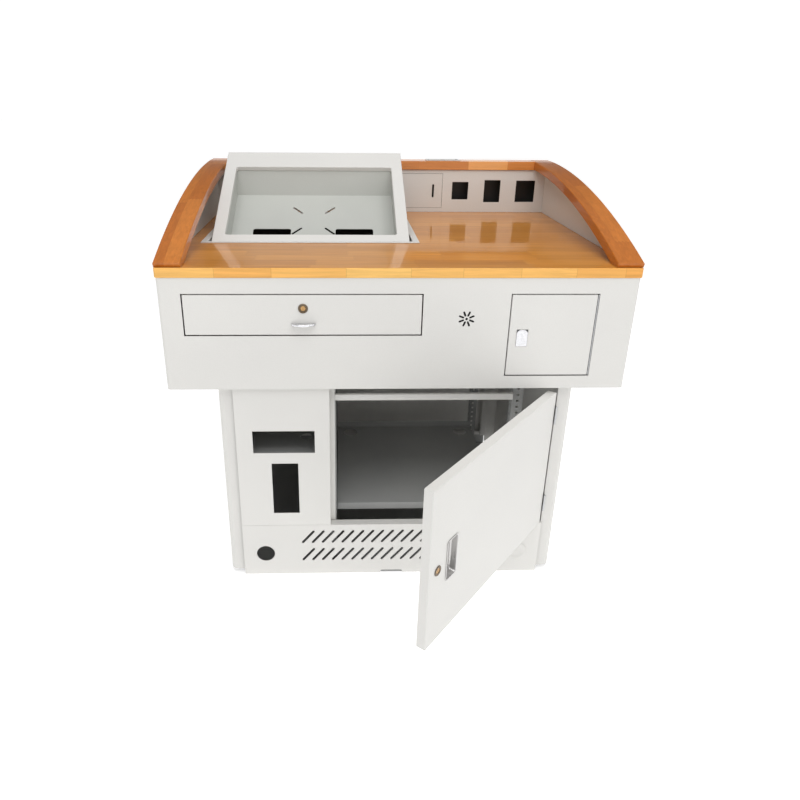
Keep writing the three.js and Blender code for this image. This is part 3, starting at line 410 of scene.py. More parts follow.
for node, name in (
    ("door_jamb", "jamb_strip"), ("door_sill", "sill_strip"),
    ("cross_rail", "cross_strip"), ("rear_header", "header_strip"),
):
    dress(node, name, coat, "steel_paint")

# ---- Rack posts ----------------------------------------------------------------------------------
# Four full-height angle posts carry the equipment. Both legs of each are punched all the way up with
# square holes for cage nuts, at the usual rack pitch.

POST_HOLE = 0.006
POST_PITCH = 0.0159

for node in ("rack_post_front_left", "rack_post_front_right", "rack_post_rear_left", "rack_post_rear_right"):
    low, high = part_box(node)
    corner = Vector((high.x if "left" in node else low.x, low.y if "front" in node else high.y, low.z))
    inward = Vector((-1 if "left" in node else 1, 1 if "front" in node else -1, 0))
    leg = high.x - low.x
    height = high.z - low.z
    holes = int(height / POST_PITCH) - 1
    rows = 2 * holes + 1
    margin = (height - (holes - 1) * POST_PITCH - POST_HOLE) / 2
    across = [0, (leg - POST_HOLE) / 2, (leg + POST_HOLE) / 2, leg]
    up = [0]
    for i in range(holes):
        up += [margin + i * POST_PITCH, margin + i * POST_PITCH + POST_HOLE]
    up.append(height)
    shape = bmesh.new()
    for lay in (Vector((inward.x, 0, 0)), Vector((0, inward.y, 0))):
        made = bmesh.ops.create_grid(shape, x_segments=3, y_segments=rows, size=0.5)["verts"]
        faces = {face for vert in made for face in vert.link_faces}
        punched = []
        for face in faces:
            middle = face.calc_center_median()
            if abs(middle.x) < 0.1 and round((middle.y + 0.5) * rows - 0.5) % 2:
                punched.append(face)
        for vert in made:
            column = round((vert.co.x + 0.5) * 3)
            row = round((vert.co.y + 0.5) * rows)
            vert.co = corner + lay * across[column] + Vector((0, 0, up[row]))
        bmesh.ops.delete(shape, geom=punched, context="FACES")
    bmesh.ops.remove_doubles(shape, verts=shape.verts, dist=MERGE)
    face_out(shape, -inward)
    name = node.replace("rack_post", "rack_angle")
    make_piece(name, shape, shaded_inner_coat, "cabinet", "inner_paint", node, sheet=STEEL)

# ---- Equipment shelf -----------------------------------------------------------------------------
# A folded shelf between the posts, with a lip down at the front, an upstand at the back and two holes
# for cables near its rear corners.

dress("equipment_shelf", "bay_shelf", shaded_inner_coat, "inner_paint")

# ---- Main door -----------------------------------------------------------------------------------
# A folded pan of steel: the skin turns back on all four sides to the door's full thickness and ends in
# a lip. It hangs open on two pins just in front of its face, beside the right-hand side panel.


def joint(name):
    """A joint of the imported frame, by its name."""
    return next(j for j in frame["joints"] if j["name"] == name)


DOOR_FOLD = 0.0026
DOOR_LIP = 0.012
LIP_THICKNESS = 0.0012


def fold_lips(shape, back, towards):
    """Gives a pan its inner lips: a band round the cavity, just under its rim, grows inwards."""
    level = back - towards * LIP_THICKNESS
    cut_plane(shape, (0, level, 0), (0, 1, 0))
    xs = [v.co.x for v in shape.verts]
    zs = [v.co.z for v in shape.verts]
    middle = Vector(((min(xs) + max(xs)) / 2, 0, (min(zs) + max(zs)) / 2))
    band = []
    for face in shape.faces:
        centre = face.calc_center_median()
        inside = (middle - centre) * Vector((1, 0, 1))
        if abs(centre.y - (level + back) / 2) < 0.0003 and face.normal.dot(inside) > 0.01:
            band.append(face)
    grown = grow(shape, band)
    for vert in grown:
        vert.co.x += math.copysign(DOOR_LIP, middle.x - vert.co.x)
        vert.co.z += math.copysign(DOOR_LIP, middle.z - vert.co.z)


hinge = Vector(joint("main_door_hinge")["pos_m"])
stands_open = math.radians(-joint("main_door_hinge")["range_deg"][0])
swing = Matrix.Translation(hinge) @ Matrix.Rotation(stands_open, 4, "Z") @ Matrix.Translation(-hinge)
shape = cad_shape("main_door")
carry(shape, swing.inverted())
door_low = Vector([min(v.co[i] for v in shape.verts) for i in range(3)])
door_high = Vector([max(v.co[i] for v in shape.verts) for i in range(3)])
fold_lips(shape, door_high.y, 1)


def on_skin(edge):
    """Whether an edge is one of the folds round the door's skin."""
    sides = 0
    middle = (edge.verts[0].co + edge.verts[1].co) / 2
    for i in range(3):
        sides += abs(middle[i] - door_low[i]) < TOUCH or (i != 1 and abs(middle[i] - door_high[i]) < TOUCH)
    return sides > 1


ease(shape, DOOR_FOLD, 5, on_skin)
ease(shape, EDGE, 2, lambda edge: edge.calc_face_angle() > SQUARE)
carry(shape, swing)
make_piece("bay_door", shape, coat, "main_door", "steel_paint", "main_door")

# ---- Door cup ------------------------------------------------------------------------------------
# A flush pull drawn from stainless sheet: a rounded rim that lies on the door's skin, and a dish behind
# it, deep enough for the fingers. It is pressed into its cut-out and bonded there.

CUP_RIM = 0.003
CUP_HALF_WIDTH = 0.0177
CUP_HALF_HEIGHT = 0.0447
CUP_DEPTH = 0.0145
CUP_STANDS = 0.0014  # rim's face in front of the skin
CUP_INSET = 0.081  # its middle, from the door's free edge
CUP_DROP = 0.006  # its middle, below the door's
CUP_CORNER = 0.007
CUP_TAPER = (0.84, 0.93)  # share of its mouth that the dish's floor keeps
CUP_ROUNDING = (0.005, 0.001)  # at the dish's floor and at the rim


def metal(name, colour, rough, brushed=(1, 1, 1), scratch=0.00001):
    """Bare or plated metal: a tint that wanders a little and a grain of fine scratches."""
    material, nodes, links, shader, place = new_material(name)
    shader.inputs["Metallic"].default_value = 1
    stretch = nodes.new("ShaderNodeVectorMath")
    stretch.operation = "MULTIPLY"
    stretch.inputs[1].default_value = brushed
    links.new(place, stretch.inputs[0])
    grain = add_node(nodes, "ShaderNodeTexNoise", {"Scale": 180, "Detail": 4})
    links.new(stretch.outputs["Vector"], grain.inputs["Vector"])
    tint = colour_ramp(nodes, ((0.3, [0.82 * c for c in colour]), (0.7, colour)))
    links.new(grain.outputs["Fac"], tint.inputs["Fac"])
    links.new(tint.outputs["Color"], shader.inputs["Base Color"])
    finish = map_range(nodes, 0.3, 0.7, 0.75 * rough, 1.25 * rough)
    links.new(grain.outputs["Fac"], finish.inputs["Value"])
    links.new(finish.outputs["Result"], shader.inputs["Roughness"])
    roughen(nodes, links, grain.outputs["Fac"], 0.3, scratch)
    return material


def facing(place, outward):
    """A frame on a front: X to the right of someone who faces it, Y up and Z out towards them."""
    up = Vector((0, 0, 1))
    out = Vector(outward)
    return Matrix.Translation(place) @ Matrix((up.cross(out), up, out)).transposed().to_4x4()


satin_steel = metal("satin_steel", (0.62, 0.61, 0.6), 0.34, (1, 1, 0.06))
chrome = metal("chrome_plate", (0.78, 0.78, 0.8), 0.12)
zinc = metal("zinc_plate", (0.55, 0.56, 0.57), 0.36)
dark_barrel = metal("lock_barrel", (0.17, 0.13, 0.09), 0.35)
brass = metal("brass_plug", (0.56, 0.34, 0.15), 0.28)

cup_level = (door_low.z + door_high.z) / 2 - CUP_DROP
cup_middle = Vector((door_low.x + CUP_INSET, door_low.y - CUP_STANDS, cup_level))
shape = bmesh.new()
bmesh.ops.create_grid(shape, x_segments=1, y_segments=1, size=1)
bmesh.ops.scale(shape, vec=(CUP_HALF_WIDTH + CUP_RIM, CUP_HALF_HEIGHT + CUP_RIM, 1), verts=shape.verts)
bmesh.ops.bevel(
    shape, geom=shape.verts[:], offset=CUP_CORNER, segments=6, profile=0.5, affect="VERTICES", material=-1,
)
bmesh.ops.inset_region(
    shape, faces=shape.faces[:], thickness=CUP_RIM, use_boundary=True, use_even_offset=True,
)
dish = max(shape.faces, key=lambda face: face.calc_area())
sunk = grow(shape, [dish])
if dish.is_valid:
    bmesh.ops.delete(shape, geom=[dish], context="FACES_ONLY")
bmesh.ops.translate(shape, vec=(0, 0, -CUP_DEPTH), verts=sunk)
bmesh.ops.scale(shape, vec=(*CUP_TAPER, 1), verts=sunk)
ease(shape, CUP_ROUNDING[0], 5, lambda edge: max(v.co.z for v in edge.verts) < TOUCH - CUP_DEPTH)
ease(shape, CUP_ROUNDING[1], 3, lambda edge: min(v.co.z for v in edge.verts) > -TOUCH)
face_out(shape, (0, 0, 1))
carry(shape, swing @ facing(cup_middle, (0, -1, 0)))
make_piece("door_pull_cup", shape, satin_steel, "main_door", "zinc", "door_cup", sheet=0.0009)

# ---- Locks ---------------------------------------------------------------------------------------
# Three cam locks: a dark threaded barrel with a flange on the front and a nut behind it, and a brass plug
# with a key slot that turns a zinc-plated cam. The barrel stays with its door; plug and cam turn.

BARREL_RADIUS = 0.0092
FLANGE_RADIUS = 0.0108
PLUG_RADIUS = 0.0058
CAM_REACH = 0.034
CAM_HALF = 0.006
NUT_RADIUS = 0.0132
CAM_SCREW_SHARE = 0.33  # the cam's screw head, next to the nut
KEY_SLOT = (0.0008, 0.0036, 0.003)  # half width, half length, depth
DOOR_LOCK_DEPTH = 0.0245
DRAWER_LOCK_DEPTH = 0.020
LOCK_INSET = 0.030  # from the door's free edge
LOCK_HEAD = 0.0095  # from a lock's end to its middle


def plate(outline, low, high, radius=EDGE):
    """A flat plate: an outline in X and Y, a thickness in Z, and eased edges."""
    shape = bmesh.new()
    face = shape.faces.new([shape.verts.new((x, y, low)) for x, y in outline])
    raised = grow(shape, [face])
    bmesh.ops.translate(shape, vec=(0, 0, high - low), verts=raised)
    bmesh.ops.recalc_face_normals(shape, faces=shape.faces)
    ease(shape, radius)
    return shape


def slotted(shape, half_width, half_length, depth):
    """Cuts a straight slot into the flat end of a turned shape that stands on the Z axis."""
    bmesh.ops.dissolve_limit(shape, angle_limit=FLAT, verts=shape.verts, edges=shape.edges)
    top = max(v.co.z for v in shape.verts)
    for normal, reach in (((1, 0, 0), half_width), ((0, 1, 0), half_length)):
        for side in (-1, 1):
            cut_plane(shape, Vector(normal) * reach * side, normal)
    floor_of_slot = [
        face for face in shape.faces
        if abs(face.calc_center_median().z - top) < 0.00005
        and abs(face.calc_center_median().x) < half_width
        and abs(face.calc_center_median().y) < half_length
    ]
    sunk = grow(shape, floor_of_slot)
    left_over = [face for face in floor_of_slot if face.is_valid]
    bmesh.ops.delete(shape, geom=left_over, context="FACES_ONLY")
    bmesh.ops.translate(shape, vec=(0, 0, -depth), verts=sunk)


def cam_lock(name, place, depth, towards, front_body, cam_body, node):
    """A barrel with its flange and nut on one body, and a plug with its cam on another."""
    ring = turned([
        (PLUG_RADIUS + 0.0002, -depth + 0.001), (BARREL_RADIUS, -depth + 0.001), (BARREL_RADIUS, 0.0003),
        (FLANGE_RADIUS, 0.0003), (FLANGE_RADIUS, 0.0011), (FLANGE_RADIUS - 0.0008, 0.0018), (0.0072, 0.0018),
        (PLUG_RADIUS + 0.0002, 0.0011), (PLUG_RADIUS + 0.0002, -depth + 0.001),
    ], (0, 0, 0), (0, 0, 1), 40)
    turns = [math.pi * i / 3 for i in range(6)]
    hexagon = [(NUT_RADIUS * math.cos(turn), NUT_RADIUS * math.sin(turn)) for turn in turns]
    nut = plate(hexagon, -0.0062, -0.0024, 0.0006)
    plug = turned([
        (0, 0.0009), (PLUG_RADIUS - 0.0006, 0.0009), (PLUG_RADIUS, 0.0005), (PLUG_RADIUS, -depth),
        (0, -depth),
    ], (0, 0, 0), (0, 0, 1), 32)
    slotted(plug, *KEY_SLOT)
    outline = []
    for start, spot in ((0, CAM_REACH - CAM_HALF), (math.pi, 0)):
        for i in range(9):
            angle = start - math.pi / 2 + math.pi * i / 8
            outline.append((spot + CAM_HALF * math.cos(angle), CAM_HALF * math.sin(angle)))
    cam = plate(outline, -depth - 0.0015, -depth + 0.0005)
    bmesh.ops.rotate(cam, cent=(0, 0, 0), matrix=Matrix.Rotation(towards, 3, "Z"), verts=cam.verts)
    small = [(CAM_SCREW_SHARE * x, CAM_SCREW_SHARE * y) for x, y in hexagon]
    head = plate(small, -depth - 0.0035, -depth - 0.0014)
    for part, shape, material, body, finish, nodes in (
        ("barrel", ring, dark_barrel, front_body, "brass", ()), ("nut", nut, zinc, front_body, "zinc", ()),
        ("plug", plug, brass, cam_body, "brass", (node,)), ("cam", cam, zinc, cam_body, "zinc", ()),
        ("cam_screw", head, zinc, cam_body, "zinc", ()),
    ):
        carry(shape, place)
        make_piece(f"{name}_{part}", shape, material, body, finish, *nodes)


lock_middle = Vector((door_low.x + LOCK_INSET, door_low.y, cup_middle.z))
cam_lock(
    "bay_lock", swing @ facing(lock_middle, (0, -1, 0)), DOOR_LOCK_DEPTH, -math.pi / 2,
    "main_door", "door_lock_cam", "door_lock",
)
low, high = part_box("drawer_lock")
drawer_front_low, drawer_front_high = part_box("drawer_front")
lock_middle = Vector((low.x + LOCK_HEAD, drawer_front_low.y, (low.z + high.z) / 2))
cam_lock(
    "key_drawer_lock", facing(lock_middle, (0, -1, 0)), DRAWER_LOCK_DEPTH, 0,
    "drawer", "drawer_lock_cam", "drawer_lock",
)
low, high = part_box("rear_door_lock")
rear_low, rear_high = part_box("rear_door")
lock_middle = Vector(((low.x + high.x) / 2, rear_high.y, high.z - LOCK_HEAD))
cam_lock(
    "service_lock", facing(lock_middle, (0, 1, 0)), DOOR_LOCK_DEPTH, -math.pi / 2,
    "rear_door", "rear_lock_cam", "rear_door_lock",
)

# ---- Hinge pins ----------------------------------------------------------------------------------
# Every door turns on turned steel pins with slightly domed ends, and grooves mark where one knuckle
# ends and the next begins. They are zinc plated. Each pin of the front door is rolled into a leaf that
# lies along the side panel's edge.

GROOVE = 0.0004
LEAF_THICKNESS = 0.0012
LEAF_OFFSET = 0.0013  # its middle, from the pin's
LEAF_SHORTER = 0.002


def hinge_leaf(name, start, end, height):
    """A small plate that runs back from a pin, between two points on its middle line."""
    leaf = bmesh.new()
    bmesh.ops.create_cube(leaf, size=1)
    bmesh.ops.scale(leaf, vec=(LEAF_THICKNESS, end.y - start.y, height), verts=leaf.verts)
    bmesh.ops.translate(leaf, vec=(start + end) / 2, verts=leaf.verts)
    ease(leaf, EDGE)
    make_piece(name, leaf, zinc, "cabinet", "zinc")


def hinge_pin(node, name, knuckles=3):
    """A pin in the place of a CAD pin, along Z, with a groove at every joint between its knuckles."""
    low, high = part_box(node)
    radius = (high.x - low.x) / 2
    half = (high.z - low.z) / 2
    middle = Vector((low.x + radius, low.y + radius, low.z + half))
    profile = [(0, -half), (radius * 0.72, -half), (radius, -half + radius * 0.35)]
    for i in range(1, knuckles):
        level = -half + 2 * half * i / knuckles
        profile += [
            (radius, level - GROOVE), (radius * 0.84, level - GROOVE / 2),
            (radius * 0.84, level + GROOVE / 2), (radius, level + GROOVE),
        ]
    profile += [(radius, half - radius * 0.35), (radius * 0.72, half), (0, half)]
    make_piece(name, turned(profile, middle, (0, 0, 1), 24), zinc, "cabinet", "zinc", node)
    if high.y - low.y > 3 * radius:
        start = middle + Vector((LEAF_OFFSET, 0, 0))
        end = Vector((start.x, high.y, middle.z))
        hinge_leaf(name.replace("pin", "leaf"), start, end, 2 * half - LEAF_SHORTER)


hinge_pin("main_door_pin_lower", "lower_door_pin")
hinge_pin("main_door_pin_upper", "upper_door_pin")
hinge_pin("rear_door_pin", "service_door_pin", 9)
hinge_pin("side_door_pin", "side_flap_pin", 5)
hinge_pin("riser_hatch_pin", "hatch_pin", 5)

# ---- Rear door -----------------------------------------------------------------------------------
# The service door is a pan like the front one, as wide as the cabinet's back. Its skin faces backwards
# and its folds and lips point into the cabinet.


def along_box(low, high):
    """Picks the edges that lie on two outer faces of a box."""
    def picks(edge):
        middle = (edge.verts[0].co + edge.verts[1].co) / 2
        return sum(abs(middle[i] - end[i]) < TOUCH for i in range(3) for end in (low, high)) > 1
    return picks


shape = cad_shape("rear_door")
fold_lips(shape, rear_low.y, -1)
ease(shape, DOOR_FOLD, 5, along_box(rear_low - Vector((0, 1, 0)), rear_high))
ease(shape, EDGE, 2, lambda edge: edge.calc_face_angle() > SQUARE)
make_piece("service_door", shape, coat, "rear_door", "steel_paint", "rear_door")

# ---- Upper cabinet's floor and front -------------------------------------------------------------
# The floor is a flat sheet with a cable opening. The front is a wide sheet with openings for the drawer
# and the side door and a punched grille; its ends are rolled to a 9 mm radius into the sides.

UPPER_CORNER = 0.009
UPPER_RETURN = 0.012
SEAM = 0.0003

dress("upper_bottom_pan", "upper_floor", coat, "inner_paint")

front_low, front_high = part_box("upper_front_panel")
shape = cad_shape("upper_front_panel")
for side in (-1, 1):
    end = side * (front_high.x - UPPER_CORNER)
    cut_plane(shape, (end, 0, 0), (side, 0, 0), True)
    free = [e for e in shape.edges if e.is_boundary and all(abs(v.co.x - end) < 0.00001 for v in e.verts)]
    free = roll_on(shape, free, (end, front_low.y + UPPER_CORNER, 0), (0, 0, 1), side * math.pi / 2, 8)
    free = run_on(shape, free, (0, UPPER_RETURN, 0))
    bmesh.ops.holes_fill(shape, edges=free, sides=0)
bmesh.ops.recalc_face_normals(shape, faces=shape.faces)
ease(shape, EDGE)
make_piece("upper_face", shape, coat, "cabinet", "steel_paint", "upper_front_panel")

# ---- Upper cabinet's sides -----------------------------------------------------------------------
# Each side is one flat sheet, from the cabinet's floor up past the worktop's edge to the underside of
# the arm rail, with its upper edge cut to the rail's curve.

for node, name in (("left_upper_side", "left_cheek"), ("right_upper_side", "right_cheek")):
    shape = cad_shape(node)
    start = front_low.y + UPPER_CORNER + UPPER_RETURN + SEAM
    cut_plane(shape, (0, start, 0), (0, -1, 0), True)
    bmesh.ops.holes_fill(shape, edges=[e for e in shape.edges if e.is_boundary], sides=0)
    bmesh.ops.recalc_face_normals(shape, faces=shape.faces)
    ease(shape, EDGE)
    make_piece(name, shape, coat, "cabinet", "steel_paint", node)

# ---- Upper cabinet's back ------------------------------------------------------------------------
# A flat cover closes the cable space behind the riser. Eight pan-head screws hold it, so that it comes
# off for wiring. Its outside has the cabinet's powder coat; its inside is painted near-black, a painted
# shade for the dark cable space seen through the riser's cut-outs.

SCREW_RADIUS = 0.0036
SCREW_INSET = 0.016  # from the cover's upper or lower edge
SCREW_SHARES = (0.03, 0.34, 0.66, 0.97)  # of the cover's width


def screw(name, place, outward, body, radius=SCREW_RADIUS):
    """A slotted pan-head screw that stands on a surface."""
    shape = turned([
        (0, radius * 0.62), (radius * 0.45, radius * 0.62), (radius * 0.82, radius * 0.46),
        (radius, radius * 0.12), (radius, -0.0005), (0, -0.0005),
    ], (0, 0, 0), (0, 0, 1), 24)
    slotted(shape, radius * 0.13, radius * 0.38, radius * 0.3)
    turn = Vector((0, 0, 1)).rotation_difference(Vector(outward)).to_matrix().to_4x4()
    carry(shape, Matrix.Translation(place) @ turn)
    make_piece(name, shape, zinc, body, "zinc")


# Near-black paint for the cover's inner face: painted shade for the dark cable space behind the riser.
back_shade_coat = powder_coat("back_shade_paint", (0.035, 0.034, 0.03), (0.022, 0.021, 0.02))
shape = cad_shape("upper_back_panel")
ease(shape, EDGE)
# The faces that look into the cable space get the painted shade.
for face in shape.faces:
    face.material_index = 1 if face.normal.y < -0.9 else 0
make_piece("rear_cover", shape, [coat, back_shade_coat], "cabinet", "steel_paint", "upper_back_panel")
low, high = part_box("upper_back_panel")
for i, share in enumerate(SCREW_SHARES):
    x = low.x + (high.x - low.x) * share
    screw(f"cover_screw_low_{i + 1}", Vector((x, high.y, low.z + SCREW_INSET)), (0, 1, 0), "cabinet")
    screw(f"cover_screw_high_{i + 1}", Vector((x, high.y, high.z - SCREW_INSET)), (0, 1, 0), "cabinet")

# ---- Speaker -------------------------------------------------------------------------------------
# A small round loudspeaker behind the grille, in black moulded plastic: a flat rim, a paper cone with a
# dust cap, a basket and a magnet cup behind.


def moulded(name, colour, rough):
    """Moulded plastic: one colour with the faint mottle and fine texture of the mould."""
    material, nodes, links, shader, place = new_material(name)
    mottle = add_node(nodes, "ShaderNodeTexNoise", {"Scale": 90, "Detail": 5})
    links.new(place, mottle.inputs["Vector"])
    tint = colour_ramp(nodes, ((0, [0.7 * c for c in colour]), (1, [1.3 * c for c in colour])))
    links.new(mottle.outputs["Fac"], tint.inputs["Fac"])
    links.new(tint.outputs["Color"], shader.inputs["Base Color"])
    shader.inputs["Roughness"].default_value = rough
    roughen(nodes, links, mottle.outputs["Fac"], 0.4, 0.00005)
    return material


black_plastic = moulded("black_plastic", (0.022, 0.022, 0.023), 0.55)
low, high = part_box("speaker")
speaker_radius = (high.x - low.x) / 2
SPEAKER_PROFILE = [  # share of the rim's radius, distance behind its face in metres
    (0, 0.002), (0.12, 0.0024), (0.22, 0.004), (0.26, 0.0046), (0.78, 0.001), (0.82, 0.0002),
    (0.88, 0.0008), (0.93, 0), (1, 0), (1, 0.002), (0.9, 0.003), (0.62, 0.0075), (0.55, 0.0075),
    (0.55, 0.0195), (0.5, 0.0205), (0, 0.0205),
]
shape = turned(
    [(r * speaker_radius, -back) for r, back in SPEAKER_PROFILE],
    ((low.x + high.x) / 2, low.y, (low.z + high.z) / 2), (0, -1, 0),
)
make_piece("loudspeaker", shape, black_plastic, "cabinet", "black_plastic", "speaker")

# ---- Keyboard drawer -----------------------------------------------------------------------------
# The front is a folded steel tray, closed at the back, with softly rounded edges. It carries a bright
# half-moon pull. Behind it a welded tray runs on two ball slides that hang from the worktop.

FRONT_EDGE = 0.002
PULL_EDGE = 0.0014
SLIDE_STEEL = 0.0012

shape = cad_shape("drawer_front")
ease(shape, FRONT_EDGE, 4, along_box(drawer_front_low, drawer_front_high))
make_piece("drawer_face", shape, coat, "drawer", "steel_paint", "drawer_front")
shape = cad_shape("drawer_pull")
ease(shape, PULL_EDGE, 4)
make_piece("half_moon_pull", shape, chrome, "drawer", "chrome", "drawer_pull")
dress("drawer_tray", "keyboard_tray", shaded_inner_coat, "inner_paint", body="drawer")


def channel(points, start, length):
    """An open channel of thin steel: an outline of (x, z) points drawn out along Y."""
    shape = bmesh.new()
    verts = [shape.verts.new((x, start, z)) for x, z in points]
    edges = [shape.edges.new(pair) for pair in zip(verts, verts[1:])]
    run_on(shape, edges, (0, length, 0))
    ease(shape, 0.002, 3)
    return shape


for side, name in ((-1, "left"), (1, "right")):
    dress(f"drawer_slide_{name}", f"{name}_slide_hanger", zinc, "zinc")
    low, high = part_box(f"drawer_runner_{name}")
    inner, outer = (high.x, low.x) if side < 0 else (low.x, high.x)
    for part, shrink, start in (("middle", 0.0, 0.0), ("inner", 0.0035, 0.01)):
        top = high.z - shrink
        bottom = low.z + shrink
        mouth = outer - side * (0.001 + shrink)
        shape = channel([
            (mouth, top - 0.005), (mouth, top), (inner + side * shrink, top), (inner + side * shrink, bottom),
            (mouth, bottom), (mouth, bottom + 0.005),
        ], low.y + start, high.y - low.y - 2 * start)
        face_out(shape, (-side, 0, 0))
        nodes = [f"drawer_runner_{name}"] if part == "middle" else []
        make_piece(f"{name}_{part}_runner", shape, zinc, "drawer", "zinc", *nodes, sheet=SLIDE_STEEL)

# ---- Side compartment ----------------------------------------------------------------------------
# A small welded box behind the square door at the right, screwed to the back of the upper front.

dress("side_compartment", "side_box", shaded_inner_coat, "inner_paint")

# ---- Side door -----------------------------------------------------------------------------------
# A square door of folded steel with softly rounded edges. Near its free edge is a paddle latch: a bright
# dish with an arched top, and a paddle inside that is pressed to turn the bolt.

LATCH_ARCH = 0.009
LATCH_RIM = 0.0016

door_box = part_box("side_door")
shape = cad_shape("side_door")
ease(shape, FRONT_EDGE, 4, along_box(*door_box))
make_piece("side_flap", shape, coat, "side_door", "steel_paint", "side_door")

low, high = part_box("side_door_latch")
half_width = (high.x - low.x) / 2
half_height = (high.z - low.z) / 2
outline = [(-half_width, -half_height), (half_width, -half_height)]
for side in (1, -1):
    for i in range(9):
        angle = math.pi / 2 * (i if side > 0 else i + 8) / 8
        outline.append((
            side * (half_width - LATCH_ARCH) + LATCH_ARCH * math.cos(angle),
            half_height - LATCH_ARCH + LATCH_ARCH * math.sin(angle),
        ))
shape = plate(outline, low.y - high.y, 0, 0.0003)
face = max((f for f in shape.faces if f.normal.z > 0.9), key=lambda f: f.calc_area())
bmesh.ops.inset_region(shape, faces=[face], thickness=LATCH_RIM, use_even_offset=True)
sunk = grow(shape, [face])
for vert in sunk:
    vert.co.z -= 0.0008 + 0.0014 * (half_height - vert.co.y) / (2 * half_height)
latch_place = Vector(((low.x + high.x) / 2, low.y, (low.z + high.z) / 2))
carry(shape, facing(latch_place, (0, -1, 0)))
make_piece("paddle_latch", shape, chrome, "side_latch", "chrome", "side_door_latch")

# ---- Riser ---------------------------------------------------------------------------------------
# A painted wall behind the worktop closes off the cable space. Three cut-outs take connector plates, and
# a flat hatch with a finger slot swings on a thin pin.

dress("riser_wall", "riser_sheet", coat, "steel_paint")
dress("riser_hatch", "hatch_leaf", coat, "steel_paint", body="riser_hatch")

# ---- Wing liners ---------------------------------------------------------------------------------
# Flat sheets that finish the inside of each wing under the arm rail, from the riser to where the rail
# comes down to the worktop.

dress("left_wing_liner", "left_wing_sheet", coat, "steel_paint")
dress("right_wing_liner", "right_wing_sheet", coat, "steel_paint")

# ---- Worktop -------------------------------------------------------------------------------------
# A 22 mm board of finger-jointed blocks, glued in rows that run from side to side and varnished to a high
# gloss. Its front corners and edges are slightly rounded. The cut edges show paler than the stained top.

BOARD_EDGE = 0.0016
ROW_WIDTH = 0.045
FIRST_ROW = -0.322
FINGER_PITCH = 0.004
FINGER_REACH = 0.006


def jointed_wood(name, tones, block, along, rough, sharpness, lines, bump_depth=0.00003):
    """Finger-jointed blocks: rows of them with random ends and tones, a grain along each, and gloss."""
    material, nodes, links, shader, place = new_material(name)

    def sums(operation, first, second=None):
        node = nodes.new("ShaderNodeMath")
        node.operation = operation
        for socket, value in zip(node.inputs, (first, second)):
            if isinstance(value, (int, float)):
                socket.default_value = value
            elif value is not None:
                links.new(value, socket)
        return node.outputs[0]

    axes = nodes.new("ShaderNodeSeparateXYZ")
    links.new(place, axes.inputs[0])
    run = axes.outputs[along]
    across = axes.outputs["Y" if along == "X" else "X"]
    rows = sums("DIVIDE", sums("SUBTRACT", across, FIRST_ROW), ROW_WIDTH)
    row = sums("FLOOR", rows)
    shift = nodes.new("ShaderNodeTexWhiteNoise")
    shift.noise_dimensions = "1D"
    links.new(row, shift.inputs["W"])
    fingers = sums("MULTIPLY", sums("PINGPONG", across, FINGER_PITCH), FINGER_REACH / FINGER_PITCH)
    spot = sums("ADD", sums("DIVIDE", sums("ADD", run, fingers), block), sums("MULTIPLY", row, 7.31))
    spot = sums("ADD", spot, shift.outputs["Value"])

    cells, ends = [
        add_node(nodes, "ShaderNodeTexVoronoi", {"Scale": 1, "Randomness": 0.7}) for _ in range(2)
    ]
    ends.feature = "DISTANCE_TO_EDGE"
    for part in (cells, ends):
        part.voronoi_dimensions = "1D"
        links.new(spot, part.inputs["W"])
    lots = nodes.new("ShaderNodeSeparateColor")
    links.new(cells.outputs["Color"], lots.inputs["Color"])

    stretch = nodes.new("ShaderNodeVectorMath")
    stretch.operation = "MULTIPLY"
    stretch.inputs[1].default_value = (0.05, 1, 1) if along == "X" else (1, 0.05, 1)
    links.new(place, stretch.inputs[0])
    slip = nodes.new("ShaderNodeVectorMath")
    links.new(stretch.outputs["Vector"], slip.inputs[0])
    links.new(cells.outputs["Color"], slip.inputs[1])
    grain = add_node(nodes, "ShaderNodeTexNoise", {
        "Scale": 130, "Detail": 4, "Roughness": 0.6, "Distortion": 0.6,
    })
    links.new(slip.outputs["Vector"], grain.inputs["Vector"])
    figure = add_node(nodes, "ShaderNodeTexNoise", {"Scale": 24, "Detail": 2})
    links.new(slip.outputs["Vector"], figure.inputs["Vector"])

    tone = sums("ADD", sums("MULTIPLY", lots.outputs[0], 0.72), sums("MULTIPLY", figure.outputs["Fac"], 0.28))
    last = len(tones) - 1
    tint = colour_ramp(nodes, [(0.12 + 0.76 * i / last, colour) for i, colour in enumerate(tones)])
    links.new(tone, tint.inputs["Fac"])

    def near(distance, width):
        edge = map_range(nodes, 0, width, 1 - lines, 1)
        links.new(distance, edge.inputs["Value"])
        return edge.outputs["Result"]

    streak = map_range(nodes, 0.3, 0.7, 0.86, 1.1)
    links.new(grain.outputs["Fac"], streak.inputs["Value"])
    seam = sums("MULTIPLY", near(sums("PINGPONG", rows, 0.5), 0.02), near(ends.outputs["Distance"], 0.006))
    shade = nodes.new("ShaderNodeVectorMath")
    shade.operation = "SCALE"
    links.new(tint.outputs["Color"], shade.inputs[0])
    links.new(sums("MULTIPLY", seam, streak.outputs["Result"]), shade.inputs["Scale"])
    links.new(shade.outputs["Vector"], shader.inputs["Base Color"])

    shader.inputs["Roughness"].default_value = rough
    shader.inputs["IOR"].default_value = 1.52
    shader.inputs["Specular IOR Level"].default_value = 0.12
    shader.inputs["Coat Weight"].default_value = sharpness
    shader.inputs["Coat Roughness"].default_value = 0.04
    roughen(nodes, links, grain.outputs["Fac"], 0.15, bump_depth)
    return material


